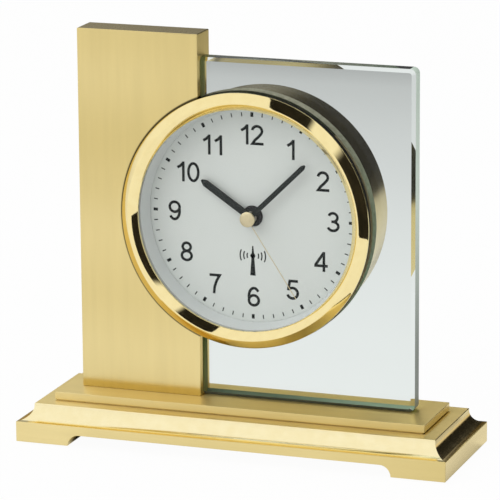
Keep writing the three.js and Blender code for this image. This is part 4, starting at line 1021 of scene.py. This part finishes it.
# %% Join the strokes of a figure
def joined_flat(bm):
    """A new bmesh in which overlapping flat faces of the XZ plane have become one surface."""
    bm.normal_update()
    bmesh.ops.reverse_faces(bm, faces=[face for face in bm.faces if face.normal.y > 0])
    bm.verts.index_update()
    spots = [vertex.co.xz for vertex in bm.verts]
    faces = [[vertex.index for vertex in face.verts] for face in bm.faces]
    spots, _, faces, _, _, sources = delaunay_2d_cdt(spots, [], faces, 0, PEN_MERGE)
    bm.free()
    joined = bmesh.new()
    corners = [joined.verts.new((x, 0, z)) for x, z in spots]
    for face, source in zip(faces, sources):
        if source:
            joined.faces.new([corners[index] for index in face])
    loose = [corner for corner in corners if not corner.link_faces]
    bmesh.ops.delete(joined, geom=loose, context="VERTS")
    return joined


# %% The ten figures
# Sizes are shares of a figure's height, and angles are in degrees from the right, as in geometry.
FIGURES = {
    "0": [[(0.38, 0.5, 0.258, 0.4375, 0, 360)]],
    "1": [[(0.46, 0), (0.46, 1)], [(0.15, 0.69), (0.31, 0.785), (0.45, 0.925)]],
    "2": [[(0.37, 0.7, 0.25, 0.2375, 172, -38), (0.43, 0.4), (0.25, 0.235), (0.13, 0.0625), (0.7, 0.0625)]],
    "3": [[(0.365, 0.725, 0.225, 0.2125, 160, -90), (0.28, 0.5125)],
          [(0.28, 0.5125), (0.365, 0.2875, 0.27, 0.225, 90, -162)]],
    "4": [[(0.513, 0), (0.513, 1)], [(0.018, 0.296), (0.71, 0.296)], [(0.075, 0.32), (0.497, 0.945)]],
    "5": [[(0.66, 0.9375), (0.235, 0.9375), (0.15, 0.46)], [(0.375, 0.3275, 0.27, 0.265, 142, -162)]],
    "6": [[(0.385, 0.315, 0.258, 0.2525, 0, 360)], [(0.4, 0.5, 0.2725, 0.4375, 38, 200)]],
    "7": [[(0.067, 0.9375), (0.6, 0.9375), (0.44, 0.66), (0.335, 0.35), (0.295, 0)]],
    "8": [[(0.38, 0.735, 0.21, 0.2025, 0, 360)], [(0.38, 0.29, 0.258, 0.2275, 0, 360)]],
    "9": [[(0.385, 0.685, 0.258, 0.2525, 0, 360)], [(0.37, 0.5, 0.2725, 0.4375, 218, 380)]],
}
print("strokes in the ten figures:", sum(len(strokes) for strokes in FIGURES.values()))

# %% Numerals
NUMERAL_HEIGHT = 8.1 * MM
NUMERAL_RING = 33.0 * MM
FIGURE_ADVANCE = 0.605
NUMERAL_NUDGES = {
    1: (-0.4, -0.6), 2: (0.7, -0.4), 3: (0.7, 0), 5: (0.2, -0.3), 6: (0.3, 0), 7: (0.7, -0.3),
    8: (0.5, 0), 10: (1.5, -0.3), 11: (-0.2, -0.7),
}

bm = bmesh.new()
for hour in range(1, HOURS + 1):
    drawn = len(bm.verts)
    for count, digit in enumerate(str(hour)):
        before = len(bm.verts)
        for parts in FIGURES[digit]:
            draw_stroke(bm, parts)
        bm.verts.ensure_lookup_table()
        bmesh.ops.translate(bm, verts=bm.verts[before:], vec=(count * FIGURE_ADVANCE, 0, 0))
    figure = bm.verts[drawn:]
    low, high = ([pick(vertex.co[axis] for vertex in figure) for axis in range(3)] for pick in (min, max))
    ring_place = clockwise(math.tau * hour / HOURS) * (NUMERAL_RING / NUMERAL_HEIGHT)
    right, up = NUMERAL_NUDGES.get(hour, (0, 0))
    nudge = Vector((right, 0, up)) * (MM / NUMERAL_HEIGHT)
    bmesh.ops.translate(bm, verts=figure, vec=ring_place + nudge - (Vector(low) + Vector(high)) / 2)
bm = joined_flat(bm)
bmesh.ops.scale(bm, verts=bm.verts[:], vec=(NUMERAL_HEIGHT,) * 3)
bmesh.ops.translate(bm, verts=bm.verts[:], vec=CLOCK_AXIS + Vector((0, dial_low.y, 0)))
thicken(bm, -PRINT_HEIGHT)
finished_piece(bm, "dial_numerals", dial_ink, "clock_body", "black_paint")

# %% [markdown]
# The radio sign says that the clock sets itself: a mast with a ball near its top and three waves on each
# side. A wave is a short radial edge that is spun through a part of a turn and then given its thickness.

# %% Radio sign
SIGN_BALL_DROP = 16.2 * MM
SIGN_BALL_RADIUS = 1.05 * MM
SIGN_BALL_STEPS = 32
SIGN_FOOT_DROP = 24.3 * MM
SIGN_SPIKE_DROP = 12.2 * MM
SIGN_FOOT_WIDTH = 2.3 * MM
SIGN_NECK_WIDTH = 0.5 * MM
WAVE_RADII = [2.7 * MM, 4.1 * MM, 5.6 * MM]
WAVE_WIDTH = 0.52 * MM
WAVE_SPAN = math.radians(50)
WAVE_STEPS = 14

bm = bmesh.new()
sign_front = dial_low.y - PRINT_HEIGHT
ball = CLOCK_AXIS + Vector((0, sign_front, -SIGN_BALL_DROP))
for side in (QUARTER, -QUARTER):
    for radius in WAVE_RADII:
        outward = clockwise(side - WAVE_SPAN / 2)
        tips = [bm.verts.new(ball + outward * reach) for reach in (radius, radius - WAVE_WIDTH)]
        stroke = bm.edges.new(tips)
        bmesh.ops.spin(
            bm, geom=[*tips, stroke], cent=ball, axis=(0, 1, 0), angle=WAVE_SPAN,
            steps=WAVE_STEPS, use_merge=False,
        )
mast = [
    (-SIGN_FOOT_WIDTH / 2, SIGN_FOOT_DROP), (SIGN_FOOT_WIDTH / 2, SIGN_FOOT_DROP),
    (SIGN_NECK_WIDTH / 2, SIGN_SPIKE_DROP), (-SIGN_NECK_WIDTH / 2, SIGN_SPIKE_DROP),
]
bm.faces.new([bm.verts.new(CLOCK_AXIS + Vector((x, sign_front, -drop))) for x, drop in mast])
thicken(bm, PRINT_HEIGHT)
finished_piece(bm, "dial_radio_sign", dial_ink, "clock_body", "black_paint")

bm = turned(
    [(0, sign_front), (SIGN_BALL_RADIUS, sign_front), (SIGN_BALL_RADIUS, dial_low.y), (0, dial_low.y)],
    centre=CLOCK_AXIS - Vector((0, 0, SIGN_BALL_DROP)), steps=SIGN_BALL_STEPS)
finished_piece(bm, "dial_radio_ball", dial_ink, "clock_body", "black_paint")

# %% [markdown]
# ## The hands
# Hour and minute hands are flat batons with a short tapered tip, stamped from sheet and lacquered black.
# Each has a round hub with a bore for its tube. The outline with its hub's arc and the bore are two loops
# of edges, and a fill between them makes one face with a hole, which is then extruded.

# %% Hour and minute hands
HOUR_BATON = {"length": 24.8 * MM, "width": 2.9 * MM, "taper": 1.9 * MM, "bore": 2.6 * MM}
MINUTE_BATON = {"length": 32.6 * MM, "width": 2.0 * MM, "taper": 1.3 * MM, "bore": 1.75 * MM}
HAND_TIP = 0.7 * MM
HUB_WALL = 0.7 * MM
HUB_STEPS = 40
HAND_EDGE = 0.08 * MM
DEGREES_PER_HOUR = 30
DEGREES_PER_MINUTE = 6
REST_MINUTE = 7.6
REST_HOUR = 10 + REST_MINUTE / MINUTES


def turn_to(bm, clock_degrees):
    """Turn a hand from twelve to its place at rest."""
    turn = Matrix.Rotation(math.radians(clock_degrees), 4, "Y")
    bmesh.ops.rotate(bm, verts=bm.verts[:], cent=CLOCK_AXIS, matrix=turn)


def baton(node, clock_degrees, length, width, taper, bore):
    """A baton with a tapered tip and a bored hub, turned from twelve to its place at rest."""
    low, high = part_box(node)
    centre = CLOCK_AXIS + Vector((0, low.y, 0))
    hub = bore + HUB_WALL
    shoulder = math.asin(width / 2 / hub)
    bm = bmesh.new()
    start = centre + clockwise(shoulder) * hub
    outline = arc(bm, start, centre, math.tau - 2 * shoulder, HUB_STEPS)
    blade = [(-width / 2, length - taper), (-HAND_TIP / 2, length),
             (HAND_TIP / 2, length), (width / 2, length - taper)]
    outline = outline + [bm.verts.new(centre + Vector((x, 0, z))) for x, z in blade]
    for first, second in zip(outline, outline[1:] + outline[:1]):
        if bm.edges.get((first, second)) is None:
            bm.edges.new((first, second))
    facing = Matrix.Translation(centre) @ Matrix.Rotation(QUARTER, 4, "X")
    bmesh.ops.create_circle(bm, segments=HUB_STEPS, radius=bore, matrix=facing)
    bmesh.ops.triangle_fill(bm, use_beauty=True, use_dissolve=False, edges=bm.edges[:])
    thicken(bm, high.y - low.y)
    break_edges(bm, HAND_EDGE, segments=1, above=60)
    turn_to(bm, clock_degrees)
    return bm


bm = baton("hour_hand", REST_HOUR * DEGREES_PER_HOUR, **HOUR_BATON)
finished_piece(bm, "hour_baton", hand_lacquer, "hour_train", "black_paint", "hour_hand")
bm = baton("minute_hand", REST_MINUTE * DEGREES_PER_MINUTE, **MINUTE_BATON)
finished_piece(bm, "minute_baton", hand_lacquer, "minute_train", "black_paint", "minute_hand")

# %% [markdown]
# The second hand is a thin gilt strip under a domed gilt cap that hides the ends of the three tubes. The
# cap is turned from a profile with its rim rounded, and the strip is a filed block.

# %% Second hand
SECOND_LENGTH = 36.8 * MM
SECOND_WIDTH = 0.28 * MM
SECOND_THICKNESS = 0.3 * MM
REST_SECOND = 24.5
CAP_RADIUS = 3.1 * MM
CAP_THICKNESS = 1.4 * MM
CAP_DOME = 0.5 * MM
CAP_PROFILE = [(0, 0), (0.5, 0.22), (0.8, 0.62), (1, 1)]
CAP_EDGE = 0.25 * MM
CAP_STEPS = 48
COLLET_RADIUS = 1.3 * MM
COLLET_BORE = 0.9 * MM

second_low, second_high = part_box("second_hand")
cap_back = second_low.y + CAP_THICKNESS
dome = [(CAP_RADIUS * out, second_low.y + CAP_DOME * drop) for out, drop in CAP_PROFILE]
bm = turned([
    *dome, (CAP_RADIUS, cap_back), (COLLET_RADIUS, cap_back), (COLLET_RADIUS, second_high.y),
    (COLLET_BORE, second_high.y), (COLLET_BORE, cap_back), (0, cap_back),
], steps=CAP_STEPS)
break_edges(bm, CAP_EDGE, segments=3)
finished_piece(bm, "seconds_cap", cap_gilt, "second_train", "polished_brass", "second_hand")
low = CLOCK_AXIS + Vector((-SECOND_WIDTH / 2, cap_back - SECOND_THICKNESS, CAP_RADIUS - CAP_EDGE))
high = CLOCK_AXIS + Vector((SECOND_WIDTH / 2, cap_back, SECOND_LENGTH))
bm = filed_block(low, high, HAND_EDGE)
turn_to(bm, REST_SECOND * DEGREES_PER_MINUTE)
finished_piece(bm, "seconds_strip", cap_gilt, "second_train", "polished_brass", "second_hand")

# %% [markdown]
# ## The back
# Three push buttons stand a little proud of the moulded back: one sets the time, one calls the radio
# signal and one restarts the movement. Below them is the lid of the battery bay, with three ridges for a
# thumb. The ridges are scored into the lid's face and extruded from it, so the lid stays one closed shell.

# %% Push buttons
BUTTON_RADIUS = 2.0 * MM
BUTTON_FLANGE_BACK = 20.3 * MM
BUTTON_FLANGE_THICKNESS = 0.8 * MM
BUTTON_FLANGE_RADIUS = 2.8 * MM
BUTTON_EDGE = 0.3 * MM
BUTTON_STEPS = 48
BUTTON_BODIES = {
    "set_button": "set_push", "receive_button": "receive_push", "reset_button": "reset_push",
}

flange_front = BUTTON_FLANGE_BACK - BUTTON_FLANGE_THICKNESS
for node, body in BUTTON_BODIES.items():
    low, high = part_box(node)
    middle = (low + high) / 2
    bm = turned([
        (0, low.y), (BUTTON_RADIUS, low.y),
        (BUTTON_RADIUS, flange_front), (BUTTON_FLANGE_RADIUS, flange_front),
        (BUTTON_FLANGE_RADIUS, BUTTON_FLANGE_BACK), (BUTTON_RADIUS, BUTTON_FLANGE_BACK),
        (BUTTON_RADIUS, high.y), (0, high.y),
    ], centre=Vector((middle.x, 0, middle.z)), steps=BUTTON_STEPS)
    break_edges(bm, BUTTON_EDGE, segments=3)
    finished_piece(bm, node + "_cap", moulded_black, body, "black_plastic", node)

# %% Battery lid
RIDGE_HEIGHT = 0.5 * MM
RIDGE_WIDTH = 1.2 * MM
RIDGE_PITCH = 2.4 * MM
RIDGE_LENGTH = 16 * MM
RIDGES = 3
LID_EDGE = 0.2 * MM


def score(bm, place, across):
    """Cut the mesh along a plane without removing anything."""
    bmesh.ops.bisect_plane(
        bm, geom=bm.verts[:] + bm.edges[:] + bm.faces[:], plane_co=place, plane_no=across)


lid_low, lid_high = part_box("battery_hatch")
plain_high = lid_high - Vector((0, RIDGE_HEIGHT, 0))
lid_middle = (lid_low + plain_high) / 2
bm = block(lid_low, plain_high)
ridge_heights = [lid_middle.z + (count - (RIDGES - 1) / 2) * RIDGE_PITCH for count in range(RIDGES)]
for end in (-RIDGE_LENGTH / 2, RIDGE_LENGTH / 2):
    score(bm, (lid_middle.x + end, 0, 0), (1, 0, 0))
for height in ridge_heights:
    for cut in (height - RIDGE_WIDTH / 2, height + RIDGE_WIDTH / 2):
        score(bm, (0, 0, cut), (0, 0, 1))


def on_a_ridge(face):
    """True for a face on the lid's back that lies under a ridge."""
    spot = face.calc_center_median()
    level = any(abs(spot.z - height) < RIDGE_WIDTH / 2 for height in ridge_heights)
    return face.normal.y > FACING and level and abs(spot.x - lid_middle.x) < RIDGE_LENGTH / 2


bm.normal_update()
drawn_out(bm, [face for face in bm.faces if on_a_ridge(face)], (0, RIDGE_HEIGHT, 0))
break_edges(bm, LID_EDGE, above=60, hollows=False)
finished_piece(bm, "battery_lid", moulded_black, "hatch", "black_plastic", "battery_hatch")

# %% [markdown]
# ## The studio
# Brass and glass are painted by what stands round them, so the studio is half of the finish. The floor
# and the surround are pale. The wall behind is darker to reflections, which is what turns the upward faces
# brown, and two black cards near the clock, feathered at one end, draw the dark bands on the bezel. The
# camera sees plain white.

# %% Helper: sums of numbers and sockets
def feed(tree, value, socket):
    """Give a socket a number, or link another socket to it."""
    if isinstance(value, (int, float)):
        socket.default_value = value
    else:
        tree.links.new(value, socket)


def reckoned(tree, operation, *values):
    """A number worked out from numbers or sockets."""
    node = tree.nodes.new("ShaderNodeMath")
    node.operation = operation
    for value, socket in zip(values, node.inputs):
        feed(tree, value, socket)
    return node.outputs["Value"]


# %% Floor in reflections
# painted light: in reflections and through glass the floor is a glow, painted bright near the clock and
# fading to dark far away, with a painted shadow under and beside the base
FLOOR_SHADE = 12 * MM
FLOOR_SIDE_REACH = 12 * MM
FLOOR_SIDE_SHADE = 26 * MM
FLOOR_NEAR = -0.25
FLOOR_FAR = 1.1
FLOOR_STOPS = [
    (0.0, 1.0), (0.167, 0.97), (0.245, 0.85), (0.315, 0.83), (0.437, 0.76),
    (0.63, 0.62), (0.72, 0.54), (0.80, 0.30), (0.90, 0.08), (1.0, 0.04),
]

floor_paint, tree, shader = new_finish("studio_floor")
spot = object_axes(tree)
fade = tree.nodes.new("ShaderNodeValToRGB")
stops = fade.color_ramp.elements
for count, (position, level) in enumerate(FLOOR_STOPS):
    stop = stops[count] if count < len(stops) else stops.new(position)
    stop.position = position
    stop.color = (level, level, level, 1)
tree.links.new(remapped(tree, spot["Y"], FLOOR_NEAR, FLOOR_FAR), fade.inputs["Fac"])


def outside(axis, half, softness):
    """From 0 over a band round the middle of the floor to 1 outside it."""
    return eased(tree, reckoned(tree, "ABSOLUTE", spot[axis]), half - softness, half)


beside = outside("X", base_high.x + FLOOR_SIDE_REACH, FLOOR_SIDE_SHADE)
lit = reckoned(tree, "MAXIMUM", beside, outside("Y", base_high.y, FLOOR_SHADE))
mirrored = tree.nodes.new("ShaderNodeEmission")
tree.links.new(fade.outputs["Color"], mirrored.inputs["Color"])
tree.links.new(lit, mirrored.inputs["Strength"])
print("tones of the mirrored floor, from near to far:", len(FLOOR_STOPS))

# %% Floor for the camera
FLOOR_TONE = 0.86
FLOOR_ROUGHNESS = 0.9
FLOOR_GLOW = 0.96


def mix_shaders(tree, share, first, second):
    """Blend two shaders; a share of 0 gives the first."""
    mix = tree.nodes.new("ShaderNodeMixShader")
    tree.links.new(share, mix.inputs["Fac"])
    tree.links.new(first, mix.inputs[1])
    tree.links.new(second, mix.inputs[2])
    return mix.outputs["Shader"]


shader.inputs["Base Color"].default_value = (FLOOR_TONE, FLOOR_TONE, FLOOR_TONE, 1)
shader.inputs["Roughness"].default_value = FLOOR_ROUGHNESS
glow = tree.nodes.new("ShaderNodeEmission")
rays = tree.nodes.new("ShaderNodeLightPath").outputs
seen = reckoned(tree, "MULTIPLY", rays["Is Camera Ray"], FLOOR_GLOW)
bent = reckoned(tree, "MAXIMUM", rays["Is Glossy Ray"], rays["Is Transmission Ray"])
plain = mix_shaders(tree, seen, shader.outputs["BSDF"], glow.outputs["Emission"])
whole = mix_shaders(tree, bent, plain, mirrored.outputs["Emission"])
tree.links.new(whole, tree.nodes["Material Output"].inputs["Surface"])
print("share of the floor that glows to the camera:", FLOOR_GLOW)

# %% Floor
FLOOR_HALF = 4.0


def flat_sheet(name, paint, half):
    """A square sheet for the stage, with half its width given."""
    bm = bmesh.new()
    bmesh.ops.create_grid(bm, x_segments=1, y_segments=1, size=half)
    mesh = bpy.data.meshes.new(name)
    bm.to_mesh(mesh)
    bm.free()
    mesh.materials.append(paint)
    sheet = bpy.data.objects.new(name, mesh)
    collection.objects.link(sheet)
    return sheet


floor = flat_sheet("studio_floor", floor_paint, FLOOR_HALF)
print("floor:", 2 * FLOOR_HALF, "m wide")

# %% Paint of the black cards
CARD_DARK = (0.004, 0.003, 0.002)
CARD_LIGHT = (0.02, 0.016, 0.012)
CARD_GRAIN = 2
CARD_FADE = 0.6


def feather(tree, axis, start, full, shader):
    """Let a card's paint fade out to clear along one of its own axes, from full down to start."""
    cover = eased(tree, object_axes(tree)[axis], start, full)
    clear = tree.nodes.new("ShaderNodeBsdfTransparent")
    card_face = mix_shaders(tree, cover, clear.outputs["BSDF"], shader.outputs["BSDF"])
    tree.links.new(card_face, tree.nodes["Material Output"].inputs["Surface"])


card_black, tree, shader = new_finish("studio_card")
tinted(tree, grain(tree, CARD_GRAIN), CARD_DARK, CARD_LIGHT, shader.inputs["Base Color"])
shader.inputs["Roughness"].default_value = 1
feather(tree, "Y", 1, CARD_FADE, shader)
print("the cards fade out from", CARD_FADE, "of their half length")

# %% Black cards
# A card has a place, a half size and a turn. Only reflections see it.
CARDS = {
    "card_above": (Vector((0.203, -0.55, 0.9)), Vector((0.40, 0.246, 1)), (0, 0, -QUARTER)),
    "card_beside": (Vector((0.30, -0.175, 0.181)), Vector((0.105, 0.196, 1)), (QUARTER, -0.2, QUARTER)),
}

for name, (centre, half_size, turn) in CARDS.items():
    card = flat_sheet(name, card_black, 1)
    card.location = centre
    card.rotation_euler = turn
    card.scale = half_size
    card.visible_camera = False
    card.visible_diffuse = False
    card.visible_transmission = False
    card.visible_shadow = False
print("cards:", ", ".join(CARDS))

# %% Surround
PLAIN_LEVEL = 0.7
FRONT_LEVEL = 1.0
BACK_LEVEL_LEFT = 0.4
BACK_LEVEL_RIGHT = 0.015
BACK_LEFT = -0.5
BACK_RIGHT = -0.1
BACK_START = -0.1
BACK_FULL = 0.4
TOP_LEVEL = 1.0
TOP_START = 0.4
TOP_FULL = 0.75
WHITE = 1.0

world = bpy.data.worlds.new("studio_surround")
bpy.context.scene.world = world
world.use_nodes = True
tree = world.node_tree
split = tree.nodes.new("ShaderNodeSeparateXYZ")
tree.links.new(tree.nodes.new("ShaderNodeTexCoord").outputs["Generated"], split.inputs["Vector"])
way = split.outputs
rays = tree.nodes.new("ShaderNodeLightPath").outputs


def blend_numbers(share, first, second):
    """Blend two numbers, each a value or a socket; a share of 0 gives the first."""
    mix = tree.nodes.new("ShaderNodeMix")
    tree.links.new(share, mix.inputs["Factor"])
    feed(tree, first, mix.inputs["A"])
    feed(tree, second, mix.inputs["B"])
    return mix.outputs["Result"]


behind = eased(tree, way["X"], BACK_LEFT, BACK_RIGHT, BACK_LEVEL_LEFT, BACK_LEVEL_RIGHT)
mirrored = blend_numbers(eased(tree, way["Y"], BACK_START, BACK_FULL), FRONT_LEVEL, behind)
mirrored = blend_numbers(eased(tree, way["Z"], TOP_START, TOP_FULL), mirrored, TOP_LEVEL)
level = blend_numbers(rays["Is Glossy Ray"], PLAIN_LEVEL, mirrored)
level = blend_numbers(rays["Is Transmission Ray"], level, mirrored)
level = blend_numbers(rays["Is Camera Ray"], level, WHITE)
background = tree.nodes["Background"]
tree.links.new(level, background.inputs["Strength"])
background.inputs["Color"].default_value = (1, 1, 1, 1)
print("surround at", PLAIN_LEVEL)

# %% Lamp
LAMP_PLACE = Vector((-0.9, -1.2, 1.5))
LAMP_SIZE = 2.0
LAMP_POWER = 18.6

lamp_data = bpy.data.lights.new("studio_lamp", "AREA")
lamp_data.size = LAMP_SIZE
lamp_data.energy = LAMP_POWER
lamp = bpy.data.objects.new("studio_lamp", lamp_data)
collection.objects.link(lamp)
lamp.location = LAMP_PLACE
lamp.rotation_mode = "QUATERNION"
lamp.rotation_quaternion = (CLOCK_AXIS - LAMP_PLACE).to_track_quat("-Z", "Y")
lamp.visible_glossy = False
bpy.context.scene.view_settings.view_transform = "Standard"
print("one lamp of", LAMP_POWER, "W")
